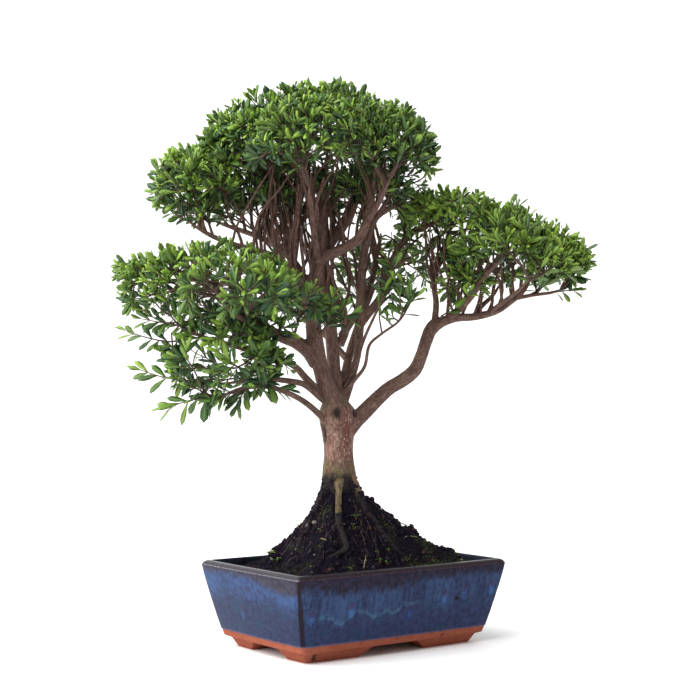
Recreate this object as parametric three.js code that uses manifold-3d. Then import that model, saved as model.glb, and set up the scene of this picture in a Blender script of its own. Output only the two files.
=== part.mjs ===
import * as THREE from 'three';
import { mergeVertices } from 'three/addons/utils/BufferGeometryUtils.js';
import Module from 'manifold-3d';

// A small-leaved myrtle bonsai in a glazed rectangular pot. Millimetres, +Z up.
// The pot's long side runs along X. The part stands on the pot's feet, and its origin is
// under the middle of everything, on the surface it stands on.

// Driving dimensions of the pot
const POT_LENGTH = 280;
const POT_WIDTH = 192;
const POT_HEIGHT = 92.5;
const POT_CORNER = 5;
const POT_BOW = 1.5;
const WALL = 9;
const FOOT_HEIGHT = 11;
const FOOT_DEPTH = 20;
const FLOOR_TOP = 24;
const LONG_FOOT_GAP = [88, 58];
const SHORT_FOOT_GAP = [66, 46];
const DRAIN_RADIUS = 8;
const DRAIN_OFFSET = 62;

// How far the pot's outside stands in from its rim, height by height: [height, setback]
const POT_PROFILE = [
  [0, 30], [FOOT_HEIGHT - 1.5, 24.5], [FOOT_HEIGHT + 1, 18.6], [18.8, 16.6],
  [50, 8.2], [78, 1.8], [90, 0], [POT_HEIGHT, 1.2],
];
// The same for the hollow inside, measured from the rim's outside
const HOLLOW_PROFILE = [[FLOOR_TOP, 15.5 + WALL], [76, 2 + WALL], [POT_HEIGHT + 3, WALL]];

// Drain screens: squares of plastic grid that keep the soil in
const SCREEN_SIDE = 34;
const SCREEN_THICKNESS = 1.6;
const SCREEN_HOLES = 3;
const SCREEN_BAR = 2.2;

// Soil: level at the wall, height at the trunk's collar, and how steeply it falls between
const SOIL_EDGE = 83;
const SOIL_CROWN = 172;
const SOIL_COLLAR = 17;
const SOIL_STEEP = 1.9;
const SOIL_LEAN = 0.5;
const SOIL_SIDES = 32;
const SOIL_RINGS = [0, 0.2, 0.32, 0.5, 0.7, 0.88, 1];

// Spaces between pieces that touch on the real plant
const GAP = 0.35;

// The tree's points are given as it is seen from in front of the pot's near corner:
// [across, away, up], with the pot turned by VIEW_TURN under it, and limbs add a radius.
const VIEW_TURN = THREE.MathUtils.degToRad(36.5);

// Wood that grew as one piece. Each limb starts inside the one that carries it.
const LIMBS = {
  trunk: [[-15, 0, 92, 17], [-15, 0, 140, 20], [-16, 0, 166, 20.5], [-17, 0, 190, 18.4],
    [-17.5, -1, 212, 16.2], [-17.5, -1, 233, 17.8], [-20, -2, 256, 19], [-21.5, -2, 274, 17.5]],
  left_stem: [[-21, -2, 262, 13.5], [-28, -6, 285, 12.5], [-37, -12, 307, 11.5], [-43, -18, 332, 10],
    [-45, -18, 358, 9], [-46, -14, 384, 8.5], [-42, -8, 406, 8.5], [-38, -4, 425, 9.5]],
  leader: [[-39, -4, 420, 8.5], [-37, -2, 450, 7.5], [-36, 0, 478, 6.5], [-34, 4, 510, 5],
    [-30, 8, 545, 3.2]],
  right_arm: [[-38, -4, 425, 6.5], [-20, -8, 432, 6.2], [5, -14, 446, 5.6], [15, -18, 470, 4.6],
    [19, -22, 497, 3.8], [25, -28, 525, 2.5]],
  mid_arm: [[-37, -2, 428, 6.8], [-24, 10, 448, 6.5], [-5, 22, 478, 6], [2, 30, 505, 4.4],
    [8, 36, 532, 2.8]],
  centre_stem: [[-19, 4, 272, 9], [-18, 10, 306, 8.2], [-19, 16, 335, 7.8], [-25, 20, 367, 7.4],
    [-31, 26, 397, 6.6], [-36, 34, 426, 5.8], [-44, 46, 460, 4.8], [-52, 58, 496, 3.6],
    [-56, 66, 524, 2.6]],
  third: [[-14, 8, 268, 7], [-6, 20, 302, 6.3], [0, 28, 326, 6.1], [3, 32, 345, 6],
    [7, 34, 366, 5.5], [8, 34, 395, 5.2], [10, 32, 425, 5], [15, 30, 449, 4.6], [24, 30, 474, 4.2],
    [40, 34, 486, 3.6], [58, 36, 497, 3], [80, 40, 512, 2]],
  third_up: [[30, 31, 480, 2.8], [40, 28, 500, 2.3], [46, 24, 526, 1.8]],
  red_limb: [[4, 32, 350, 5.2], [16, 37, 366, 5], [30, 44, 385, 4.8], [36, 50, 406, 4.5],
    [50, 58, 440, 4.2], [68, 66, 462, 3.8], [92, 72, 474, 3], [112, 74, 483, 2.2]],
  red_low: [[42, 54, 420, 2.6], [56, 60, 428, 2.2], [76, 66, 438, 1.8]],
  back_fork_left: [[-16, 22, 330, 5.2], [-10, 28, 350, 5], [-20, 40, 372, 4.6], [-34, 56, 400, 4],
    [-52, 74, 432, 3.2], [-66, 88, 462, 2.4]],
  back_fork_right: [[-14, 24, 340, 4.8], [-4, 30, 356, 4.6], [10, 44, 378, 4.2], [20, 60, 404, 3.6],
    [26, 72, 432, 2.8], [30, 80, 458, 2]],
  left_limb: [[-46, -18, 325, 8.5], [-62, -26, 331, 7.6], [-77, -40, 336, 6.6], [-90, -55, 342, 5.8],
    [-108, -72, 352, 4.8], [-130, -88, 366, 3.8], [-155, -100, 382, 2.6]],
  left_limb_back: [[-92, -57, 343, 3.8], [-112, -60, 362, 3.4], [-140, -60, 380, 3],
    [-170, -62, 396, 2.4], [-195, -66, 408, 1.8]],
  left_limb_front: [[-100, -66, 348, 3.4], [-116, -98, 352, 3], [-130, -126, 362, 2.4],
    [-140, -148, 378, 1.8]],
  low_limb: [[-32, -8, 270, 4.4], [-53, -20, 292, 4], [-64, -30, 304, 3.6], [-81, -45, 312, 3.2],
    [-104, -62, 319, 3], [-130, -78, 326, 2.6], [-158, -90, 334, 2], [-182, -100, 345, 1.5]],
  lower_limb: [[-34, -10, 268, 3.8], [-53, -26, 284, 3.4], [-68, -46, 288, 3.2], [-90, -66, 290, 2.6],
    [-115, -84, 288, 2.1], [-140, -100, 284, 1.5]],
  lowest_limb: [[-26, -6, 240, 3.8], [-50, -28, 266, 3.2], [-70, -52, 279, 3], [-92, -72, 284, 2.6],
    [-118, -88, 280, 2], [-142, -98, 270, 1.5]],
  dome_left: [[-46, -16, 366, 5.4], [-58, -20, 392, 4.8], [-72, -28, 412, 4.5], [-89, -40, 424, 4.2],
    [-112, -52, 430, 3.8], [-135, -60, 436, 3.2], [-158, -66, 446, 2.6], [-180, -66, 460, 1.9]],
  dome_left_up: [[-62, -22, 398, 4], [-68, -22, 418, 3.8], [-70, -26, 440, 3.5], [-64, -32, 462, 3],
    [-58, -38, 490, 2.5], [-56, -44, 518, 1.8]],
  dome_left_back: [[-46, -14, 384, 5], [-66, 0, 420, 4.4], [-89, 15, 442, 4], [-114, 28, 455, 3.4],
    [-142, 40, 466, 2.8], [-168, 44, 476, 2]],
  dome_mid_left: [[-88, 14, 441, 3.8], [-98, 10, 462, 3.4], [-100, 6, 488, 3], [-98, 0, 512, 2.2]],
  dome_front: [[-40, -8, 424, 4.2], [-43, -30, 445, 3.6], [-45, -60, 468, 3], [-48, -86, 494, 2]],
  dome_front_right: [[0, -12, 442, 3.6], [14, -38, 460, 3.2], [28, -64, 482, 2.6],
    [38, -84, 502, 1.8]],
  right_branch: [[-14, 0, 228, 11], [0, 2, 243, 9.8], [10, 5, 252, 9.2], [26, 12, 268, 8.8],
    [40, 20, 280, 8.5], [55, 28, 289, 8.2], [68, 36, 301, 8], [75, 42, 318, 7.6], [80, 48, 334, 7.4],
    [87, 54, 352, 7.4], [97, 58, 363, 7]],
  right_end: [[88, 53, 347, 6.4], [100, 58, 357, 6.2], [118, 62, 363, 5.2], [136, 66, 364, 4.6],
    [152, 70, 367, 4.4], [168, 74, 373, 4.4], [181, 78, 382, 4.2], [196, 82, 394, 3.8],
    [205, 86, 408, 3], [212, 88, 424, 2.2]],
  right_mid: [[108, 60, 363, 4.4], [122, 56, 373, 4], [134, 50, 386, 3.8], [142, 44, 398, 3.4],
    [152, 36, 412, 3], [165, 26, 426, 2.2]],
  right_up: [[93, 57, 358, 4], [95, 62, 380, 3.5], [93, 68, 401, 3.2], [96, 74, 419, 2.8],
    [102, 80, 440, 2.4], [110, 84, 460, 1.8]],
  right_back: [[140, 67, 365, 3.2], [150, 85, 378, 2.8], [165, 105, 392, 2.3], [176, 120, 408, 1.7]],
  right_front: [[156, 71, 368, 3], [168, 52, 378, 2.6], [184, 32, 390, 2.1], [196, 14, 402, 1.5]],
  right_tip: [[190, 80, 387, 2.6], [210, 84, 391, 2.1], [232, 86, 394, 1.7], [250, 84, 400, 1.3]],
  back_limb: [[-12, 10, 288, 5.4], [-4, 45, 325, 4.8], [6, 80, 358, 4.2], [18, 108, 388, 3.4],
    [30, 126, 414, 2.4]],
  back_left: [[-8, 32, 314, 4], [-30, 64, 340, 3.4], [-58, 92, 362, 2.8], [-86, 110, 384, 2]],
  gap_twig: [[-12, 4, 276, 2.6], [2, 3, 292, 2.2], [12, 0, 306, 1.9], [17, 4, 329, 1.7],
    [31, 6, 342, 1.5], [50, 8, 356, 1.3], [62, 10, 374, 1.1]],
  gap_riser: [[-10, 6, 282, 2.4], [2, 8, 308, 2], [10, 10, 333, 1.8], [20, 13, 356, 1.6],
    [29, 16, 374, 1.3], [38, 18, 388, 1]],
};

// Roots that show: they leave the trunk's foot and run down half sunk in the soil.
// [across, away, height of the root's middle over the soil, radius]
const ROOTS = {
  front_root: [[-14, -10, 12, 7], [-16, -20, 8, 4.8], [-16.5, -31, 4, 4], [-16, -42, 1.5, 3.5],
    [-9, -55, 0, 3], [-20, -66, -1, 2.4], [-34, -74, -5, 1.6]],
  right_root: [[-6, -8, 10, 8], [5, -13, 5, 5.4], [14, -17, 1.5, 4.4], [34, -24, 0, 3.4],
    [52, -30, -1, 2.6], [70, -34, -5, 2]],
  left_root: [[-25, -6, 6, 7], [-36, -12, 2, 5], [-48, -22, 0.5, 3.8], [-60, -32, -0.5, 3],
    [-70, -44, -5, 2.2]],
  back_root: [[-12, 10, 6, 8], [-8, 26, 1, 5.4], [-2, 42, 0, 4], [8, 58, -5, 2.4]],
  side_root: [[-28, 6, 6, 7], [-42, 14, 1, 5], [-56, 20, 0, 3.6], [-68, 28, -5, 2.2]],
};

// The canopy, as leafy clumps. Shoots are spread over an ellipsoid's outside, down to the given
// slope of its surface (1 is level and facing up, -1 facing down), and grow from the named limbs.
// [name, centre, half sizes, limbs, leafy stems, shoots, lowest slope]
const CLUMPS = [
  ['crown', [-28, 0, 556], [72, 78, 66], ['leader', 'mid_arm', 'right_arm', 'centre_stem'],
    3, 8, 0],
  ['crown_front', [-42, -84, 530], [74, 52, 58], ['dome_front', 'dome_left_up', 'leader'],
    2, 5, -0.25],
  ['crown_left', [-106, -20, 535], [72, 72, 56],
    ['dome_mid_left', 'dome_left_up', 'dome_left_back', 'dome_left'], 2, 6, -0.15],
  ['crown_far_left', [-170, -40, 500], [52, 66, 42], ['dome_left', 'dome_left_back'],
    2, 5, -0.45],
  ['crown_right', [32, -20, 537], [58, 74, 59], ['right_arm', 'third', 'third_up', 'dome_front_right'],
    3, 6, -0.3],
  ['crown_back', [-40, 84, 528], [84, 56, 56],
    ['centre_stem', 'back_fork_left', 'mid_arm', 'back_fork_right'], 3, 6, -0.3],
  ['left_top', [-150, -80, 396], [84, 62, 38], ['left_limb', 'left_limb_back', 'low_limb'],
    3, 7, -0.5],
  ['left_tip', [-200, -78, 384], [52, 52, 36], ['left_limb_back', 'low_limb', 'left_limb'],
    2, 4, -0.6],
  ['left_front', [-120, -140, 372], [66, 40, 42], ['left_limb_front', 'left_limb'], 2, 4, -0.6],
  ['left_low', [-136, -94, 306], [66, 56, 42], ['low_limb', 'lower_limb', 'lowest_limb'],
    3, 6, -0.9],
  ['left_near', [-72, -80, 372], [44, 44, 40], ['left_limb', 'left_limb_front'], 1, 2, -0.5],
  ['right_top', [112, 60, 474], [66, 62, 38], ['right_up', 'red_limb', 'right_mid'], 2, 5, -0.4],
  ['right_middle', [162, 50, 444], [56, 66, 40], ['right_mid', 'right_front', 'right_end'],
    2, 5, -0.5],
  ['right_tip', [218, 70, 427], [56, 54, 36], ['right_end', 'right_tip', 'right_front', 'right_back'],
    3, 5, -0.6],
  ['right_back', [165, 110, 436], [56, 44, 36], ['right_back', 'right_end', 'right_up'], 2, 3, -0.5],
  ['back', [40, 128, 420], [70, 48, 46], ['back_limb', 'back_fork_right'], 2, 4, -0.6],
  ['back_left', [-90, 112, 390], [58, 44, 38], ['back_left'], 2, 3, -0.6],
  ['gap', [46, 12, 384], [24, 22, 22], ['gap_twig', 'gap_riser'], 1, 1, -1],
];

// How shoots grow: the length of a step, how much a bend away from the limb's own direction
// costs against length, how much distance from the trunk costs, and how far a step may stray
const STEP = 14;
const BEND_COST = 1.6;
const PATH_COST = 0.25;
const STRAY = 0.26;
const SHADED = 0.72;
const TWIG_TIP = 0.9;
const TWIG_STRIDE = 3;
const TWIG_EXPONENT = 2.3;

// Leaves: opposite pairs, each pair turned a quarter from the last
const LEAF_LENGTH = [16, 24];
const LEAF_WIDTH = 0.4;
const LEAF_RIB = 1;
const LEAF_BASE = 1.6;
const STALK = 0.7;
const LEAF_ARCH = 0.16;
const PAIRS_PER_SHOOT = 2;
const PAIR_SPACING = 8;

const SPAN_STEPS = 5;

const wasm = await Module();
wasm.setup();

/** Closed geometry to solid. */
function solid(geometry) {
  const bare = geometry.clone();
  bare.deleteAttribute('normal');
  bare.deleteAttribute('uv');
  const merged = mergeVertices(bare, 1e-4);
  const triVerts = [];
  const index = merged.index.array;
  for (let i = 0; i < index.length; i += 3) {
    const [a, b, c] = [index[i], index[i + 1], index[i + 2]];
    if (a !== b && b !== c && c !== a) triVerts.push(a, b, c);
  }
  return new wasm.Manifold(new wasm.Mesh({
    numProp: 3,
    vertProperties: new Float32Array(merged.attributes.position.array),
    triVerts: new Uint32Array(triVerts),
  }));
}

/** Solid to geometry. */
function geometryOf(shape) {
  const mesh = shape.getMesh();
  const geometry = new THREE.BufferGeometry();
  const places = new Float32Array(mesh.vertProperties);
  geometry.setAttribute('position', new THREE.BufferAttribute(places, 3));
  geometry.setIndex(new THREE.BufferAttribute(new Uint32Array(mesh.triVerts), 1));
  return geometry;
}

/** The largest body of a solid that a cut may have left in several. */
function largest(shape) {
  const bodies = shape.decompose();
  return bodies.reduce((best, body) => (body.volume() > best.volume() ? body : best));
}

/** Moves every vertex of a geometry by a function of its position. */
function reshape(geometry, move) {
  const place = geometry.attributes.position;
  const point = new THREE.Vector3();
  for (let i = 0; i < place.count; i += 1) {
    point.fromBufferAttribute(place, i);
    move(point);
    place.setXYZ(i, point.x, point.y, point.z);
  }
  return geometry;
}

/** Steps through a list of [height, value] by straight lines. */
function along(profile, height) {
  const last = profile.length - 1;
  if (height <= profile[0][0]) return profile[0][1];
  for (let i = 1; i <= last; i += 1) {
    const [low, high] = [profile[i - 1], profile[i]];
    if (height <= high[0]) {
      return THREE.MathUtils.mapLinear(height, low[0], high[0], low[1], high[1]);
    }
  }
  return profile[last][1];
}

/** From [across, away, up] as the tree is seen to the pot's own axes. */
function place([across, away, up]) {
  return new THREE.Vector3(
    across * Math.cos(VIEW_TURN) + away * Math.sin(VIEW_TURN),
    -across * Math.sin(VIEW_TURN) + away * Math.cos(VIEW_TURN),
    up,
  );
}

// Pot

/** The rim's outline from above: a rounded rectangle with points along its sides. */
function rimOutline() {
  const [x, y, r] = [POT_LENGTH / 2, POT_WIDTH / 2, POT_CORNER];
  const outline = new THREE.Shape();
  outline.moveTo(0, -y);
  outline.absarc(x - r, -y + r, r, -Math.PI / 2, 0);
  outline.lineTo(x, 0);
  outline.absarc(x - r, y - r, r, 0, Math.PI / 2);
  outline.lineTo(0, y);
  outline.absarc(-x + r, y - r, r, Math.PI / 2, Math.PI);
  outline.lineTo(-x, 0);
  outline.absarc(-x + r, -y + r, r, Math.PI, Math.PI * 1.5);
  outline.closePath();
  return outline;
}

/** A solid whose outline narrows with height as a profile says, its sides slightly bowed. */
function taperedBox(profile) {
  const steps = profile.length - 1;
  const geometry = new THREE.ExtrudeGeometry(rimOutline(), {
    depth: steps, steps, bevelEnabled: false, curveSegments: 2,
  });
  const [x, y] = [POT_LENGTH / 2, POT_WIDTH / 2];
  return solid(reshape(geometry, (point) => {
    const [height, setback] = profile[Math.round(point.z)];
    const [u, v] = [point.x / x, point.y / y];
    point.x = u * (x - setback + POT_BOW * (1 - v * v));
    point.y = v * (y - setback + POT_BOW * (1 - u * u));
    point.z = height;
  }));
}

/** The space between two feet: a bar with sloping ends, right through under the pot. */
function footGap([below, above], length) {
  const side = new THREE.Shape();
  side.moveTo(-below / 2 - 2, -1);
  side.lineTo(below / 2 + 2, -1);
  side.lineTo(above / 2, FOOT_HEIGHT);
  side.lineTo(-above / 2, FOOT_HEIGHT);
  side.closePath();
  const geometry = new THREE.ExtrudeGeometry(side, { depth: length, bevelEnabled: false });
  geometry.translate(0, 0, -length / 2);
  geometry.rotateX(Math.PI / 2);
  return geometry;
}

function makePot() {
  let pot = taperedBox(POT_PROFILE).subtract(taperedBox(HOLLOW_PROFILE));
  pot = pot.subtract(solid(footGap(LONG_FOOT_GAP, POT_WIDTH)));
  pot = pot.subtract(solid(footGap(SHORT_FOOT_GAP, POT_LENGTH).rotateZ(Math.PI / 2)));
  const footInside = new THREE.BoxGeometry(
    POT_LENGTH - 60 - 2 * FOOT_DEPTH, POT_WIDTH - 60 - 2 * FOOT_DEPTH, FOOT_HEIGHT * 2,
  );
  pot = pot.subtract(solid(footInside));
  for (const side of [-1, 1]) {
    const drain = new THREE.CylinderGeometry(DRAIN_RADIUS, DRAIN_RADIUS, FLOOR_TOP * 3, 12);
    drain.rotateX(Math.PI / 2);
    drain.translate(side * DRAIN_OFFSET, 0, 0);
    pot = pot.subtract(solid(drain));
  }
  return pot;
}

// Drain screens

function makeScreen(side) {
  let grid = solid(new THREE.BoxGeometry(SCREEN_SIDE, SCREEN_SIDE, SCREEN_THICKNESS));
  const pitch = (SCREEN_SIDE - SCREEN_BAR) / SCREEN_HOLES;
  const hole = pitch - SCREEN_BAR;
  for (let i = 0; i < SCREEN_HOLES; i += 1) {
    for (let j = 0; j < SCREEN_HOLES; j += 1) {
      const opening = new THREE.BoxGeometry(hole, hole, SCREEN_THICKNESS * 2);
      const middle = (n) => (n - (SCREEN_HOLES - 1) / 2) * pitch;
      opening.translate(middle(i), middle(j), 0);
      grid = grid.subtract(solid(opening));
    }
  }
  return grid.translate([side * DRAIN_OFFSET, 0, FLOOR_TOP + GAP + SCREEN_THICKNESS / 2]);
}

/** The space the soil leaves for a screen. */
function screenSpace(side) {
  const wide = SCREEN_SIDE + 2 * GAP;
  const box = new THREE.BoxGeometry(wide, wide, 2 * (SCREEN_THICKNESS + 2 * GAP));
  box.translate(side * DRAIN_OFFSET, 0, FLOOR_TOP);
  return solid(box);
}

// Soil

const TRUNK_FOOT = place([-15, 0, 0]);

/** Where the ray from the trunk's foot at an angle meets the wall, and how far that is. */
function wallDistance(cos, sin, setback) {
  const x = POT_LENGTH / 2 - setback - Math.sign(cos) * TRUNK_FOOT.x;
  const y = POT_WIDTH / 2 - setback - Math.sign(sin) * TRUNK_FOOT.y;
  return Math.min(x / Math.max(1e-9, Math.abs(cos)), y / Math.max(1e-9, Math.abs(sin)));
}

const SOIL_SETBACK = along(HOLLOW_PROFILE, SOIL_EDGE) + GAP;

/** Height of the soil's surface: a steep mound round the trunk, wider along the pot. */
function soilHeight(x, y) {
  const [dx, dy] = [x - TRUNK_FOOT.x, y - TRUNK_FOOT.y];
  const distance = Math.hypot(dx, dy);
  if (distance < 1e-6) return SOIL_CROWN;
  const [cos, sin] = [dx / distance, dy / distance];
  const beyond = Math.max(0, distance - SOIL_COLLAR);
  const share = Math.min(1, beyond / (wallDistance(cos, sin, SOIL_SETBACK) - SOIL_COLLAR));
  const steepness = SOIL_STEEP - SOIL_LEAN * cos;
  const lumps = 2.2 * Math.sin(x * 0.11 + 1.3) * Math.sin(y * 0.13 - 0.4)
    + 1.3 * Math.sin(x * 0.23 - y * 0.17 + 2.1);
  const fade = Math.min(1, 4 * share * (1 - share));
  return SOIL_EDGE + (SOIL_CROWN - SOIL_EDGE) * (1 - share) ** steepness + lumps * fade;
}

/** Angles round the trunk's foot that hit the pot's four corners. */
function soilAngles() {
  const corner = (sx, sy) => Math.atan2(
    sy * (POT_WIDTH / 2 - SOIL_SETBACK) - TRUNK_FOOT.y,
    sx * (POT_LENGTH / 2 - SOIL_SETBACK) - TRUNK_FOOT.x,
  );
  const corners = [corner(1, -1), corner(1, 1), corner(-1, 1), corner(-1, -1) + 2 * Math.PI];
  corners.push(corners[0] + 2 * Math.PI);
  const quarter = SOIL_SIDES / 4;
  return Array.from({ length: SOIL_SIDES }, (_, i) => {
    const side = Math.floor(i / quarter);
    return THREE.MathUtils.lerp(corners[side], corners[side + 1], (i % quarter) / quarter);
  });
}

function makeSoil(woodSpace) {
  const angles = soilAngles();
  const rings = SOIL_RINGS.length;
  const profile = SOIL_RINGS.map((share, i) => new THREE.Vector2(share, rings - i));
  profile.push(new THREE.Vector2(1, 0), new THREE.Vector2(0, 0));
  const geometry = new THREE.LatheGeometry(profile.reverse(), SOIL_SIDES);
  const floor = FLOOR_TOP + GAP;
  const floorSetback = HOLLOW_PROFILE[0][1] + GAP;
  reshape(geometry, (point) => {
    const share = Math.hypot(point.x, point.z);
    const turn = Math.atan2(point.x, point.z) / (2 * Math.PI);
    const i = Math.round((turn + 1) * SOIL_SIDES) % SOIL_SIDES;
    const [cos, sin] = [Math.cos(angles[i]), Math.sin(angles[i])];
    const setback = point.y < 0.5 ? floorSetback : SOIL_SETBACK;
    const corner = i % (SOIL_SIDES / 4) === 0 ? 2.5 : 0;
    const reach = (wallDistance(cos, sin, setback) - corner) * share;
    const [x, y] = [TRUNK_FOOT.x + cos * reach, TRUNK_FOOT.y + sin * reach];
    point.set(x, y, point.y < 0.5 ? floor : soilHeight(x, y));
  });
  let soil = solid(geometry);
  for (const side of [-1, 1]) soil = soil.subtract(screenSpace(side));
  return largest(soil.subtract(woodSpace));
}

// Wood

/** Points and radii along a limb, by a Catmull-Rom curve through its hand-placed points. */
function limbSteps(points, steps = SPAN_STEPS) {
  const places = new THREE.CatmullRomCurve3(points.map((p) => place(p)), false, 'catmullrom', 0.5);
  const widths = new THREE.CatmullRomCurve3(
    points.map((p) => new THREE.Vector3(p[3], 0, 0)), false, 'catmullrom', 0.5,
  );
  const count = (points.length - 1) * steps;
  return Array.from({ length: count + 1 }, (_, i) => ({
    at: places.getPoint(i / count),
    radius: widths.getPoint(i / count).x,
  }));
}

/** A closed round bar through the steps: a cylinder bent along them. */
function bar(steps, sides, extra = 0) {
  const rings = steps.length - 1;
  const geometry = new THREE.CylinderGeometry(1, 1, 1, sides, rings);
  const frames = framesAlong(steps);
  return solid(reshape(geometry, (point) => {
    const i = Math.round((point.y + 0.5) * rings);
    const angle = Math.atan2(point.x, point.z);
    const radius = Math.hypot(point.x, point.z) > 0.5 ? steps[i].radius + extra : 0;
    let push = 0;
    if (i === 0) push = -extra;
    if (i === rings) push = extra;
    point.copy(steps[i].at)
      .addScaledVector(frames[i].normal, Math.cos(angle) * radius)
      .addScaledVector(frames[i].side, Math.sin(angle) * radius)
      .addScaledVector(frames[i].tangent, push);
  }));
}

/** A root's points, set on the soil's surface by their lift. */
function rootSteps(points) {
  const onSoil = points.map(([across, away, lift, radius]) => {
    const spot = place([across, away, 0]);
    return [across, away, soilHeight(spot.x, spot.y) + lift, radius];
  });
  return limbSteps(onSoil, 2);
}

/** The centre lines that the wood's bars follow. */
const woodLines = Object.values(LIMBS).map((points) => limbSteps(points, 1).map((step) => step.at));

/** The nearest place on the wood's centre lines. */
function nearestOnWood(at) {
  const line = new THREE.Line3();
  const near = new THREE.Vector3();
  let best = woodLines[0][0].clone();
  for (const points of woodLines) {
    for (let i = 1; i < points.length; i += 1) {
      line.set(points[i - 1], points[i]).closestPointToPoint(at, true, near);
      if (near.distanceTo(at) < best.distanceTo(at)) best = near.clone();
    }
  }
  return best;
}

function makeWood(extra) {
  let wood = null;
  const join = (piece) => {
    wood = wood === null ? piece : wood.add(piece);
  };
  for (const [name, points] of Object.entries(LIMBS)) {
    const thick = points[0][3];
    let sides = 4;
    if (thick > 5) sides = 5;
    if (thick > 8) sides = 7;
    if (name === 'trunk') sides = 10;
    const steps = limbSteps(points, name === 'trunk' ? 2 : 1);
    join(bar(steps, sides, extra));
  }
  for (const points of Object.values(ROOTS)) {
    join(bar(rootSteps(points), 5, extra));
  }
  return wood;
}

// Shoots

/** Seeded draws between 0 and 1. */
function draws(seed) {
  let state = seed;
  return () => {
    state = (state * 16807) % 2147483647;
    return state / 2147483647;
  };
}

/** Grows each clump's shoots, step by step, from its limbs and from its earlier shoots. */
function growShoots() {
  const nodes = [];
  const limbNodes = {};
  for (const [name, points] of Object.entries(LIMBS)) {
    const steps = limbSteps(points);
    const first = nodes.length;
    let path = 0;
    steps.forEach((step, i) => {
      const ahead = steps[Math.min(i + 1, steps.length - 1)].at;
      const behind = steps[Math.max(i - 1, 0)].at;
      if (i > 0) path += step.at.distanceTo(behind);
      nodes.push({
        at: step.at, direction: ahead.clone().sub(behind).normalize(), path, stem: null,
      });
    });
    const grown = steps.map((_, i) => first + i);
    limbNodes[name] = grown.slice(Math.floor(grown.length / 4));
  }
  const shoots = [];
  CLUMPS.forEach(([clump, centre, half, limbs, stemCount, shootCount, lowest], c) => {
    const draw = draws(1000 + c * 77);
    const onLimbs = limbs.flatMap((name) => limbNodes[name]);
    const onShoots = [];
    let made = 0;
    for (let k = 1; made < shootCount && k < shootCount * 6; k += 1) {
      const u = (0.5 + k * 0.7548776662466927) % 1;
      const v = (0.5 + k * 0.5698402909980532) % 1;
      const w = (k * 0.6180339887498949) % 1;
      const slope = 1 - u * (1 - lowest);
      const level = Math.sqrt(Math.max(0, 1 - slope * slope));
      const outward = [level * Math.cos(2 * Math.PI * v), level * Math.sin(2 * Math.PI * v), slope];
      const reach = 0.86 + 0.14 * w;
      const target = outward.map((part, axis) => centre[axis] + half[axis] * part * reach);
      if (isShaded(target, c)) continue;
      const from = made < stemCount ? onLimbs : onShoots;
      const slant = place(outward.map((part, axis) => part / half[axis]));
      const shoot = growShoot(nodes, from, place(target), slant, draw);
      shoot.stem = nodes[shoot.nodes[0]].stem ?? `${clump}_stem_${made + 1}`;
      shoot.nodes.slice(1).forEach((i) => {
        nodes[i].stem = shoot.stem;
        onShoots.push(i);
      });
      shoots.push(shoot);
      made += 1;
    }
  });
  return { nodes, shoots };
}

/** Whether a place lies deep inside another clump, where no shoot would live. */
function isShaded(target, own) {
  return CLUMPS.some(([, centre, half], c) => {
    if (c === own) return false;
    const offsets = target.map((part, axis) => (part - centre[axis]) / half[axis]);
    return offsets.reduce((sum, offset) => sum + offset ** 2, 0) < SHADED;
  });
}

/** A shoot from the best placed of the nodes to a target on the clump's outside, leaving it
 * along the slant of the surface there. */
function growShoot(nodes, candidates, target, slant, draw) {
  let best = null;
  for (const i of candidates) {
    const { at, direction, path } = nodes[i];
    const way = target.clone().sub(at);
    const length = way.length() + 1e-9;
    const bend = 1 - way.dot(direction) / length;
    const cost = length * (1 + BEND_COST * bend) + PATH_COST * path;
    if (best === null || cost < best.cost) best = { i, cost, way, length };
  }
  const outward = slant.clone().normalize();
  const root = nodes[best.i];
  const straight = best.way.clone().divideScalar(best.length);
  const start = root.direction.clone().multiplyScalar(0.55).addScaledVector(straight, 0.45);
  start.normalize();
  const end = outward.clone().multiplyScalar(0.5).addScaledVector(straight, 0.5);
  end.z += 0.45;
  end.normalize();
  const curve = new THREE.CubicBezierCurve3(
    root.at,
    root.at.clone().addScaledVector(start, best.length * 0.36),
    target.clone().addScaledVector(end, -best.length * 0.3),
    target,
  );
  const count = Math.max(2, Math.ceil(best.length / STEP));
  const made = [best.i];
  for (let m = 1; m <= count; m += 1) {
    const at = curve.getPoint(m / count);
    if (m < count) {
      at.x += (draw() - 0.5) * STEP * STRAY;
      at.y += (draw() - 0.5) * STEP * STRAY;
      at.z += (draw() - 0.5) * STEP * STRAY;
    }
    const last = nodes[made[made.length - 1]];
    nodes.push({
      at,
      direction: at.clone().sub(last.at).normalize(),
      path: last.path + at.distanceTo(last.at),
      stem: null,
    });
    made.push(nodes.length - 1);
  }
  return { nodes: made, outward, turn: draw(), size: draw(), lean: draw() };
}

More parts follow.
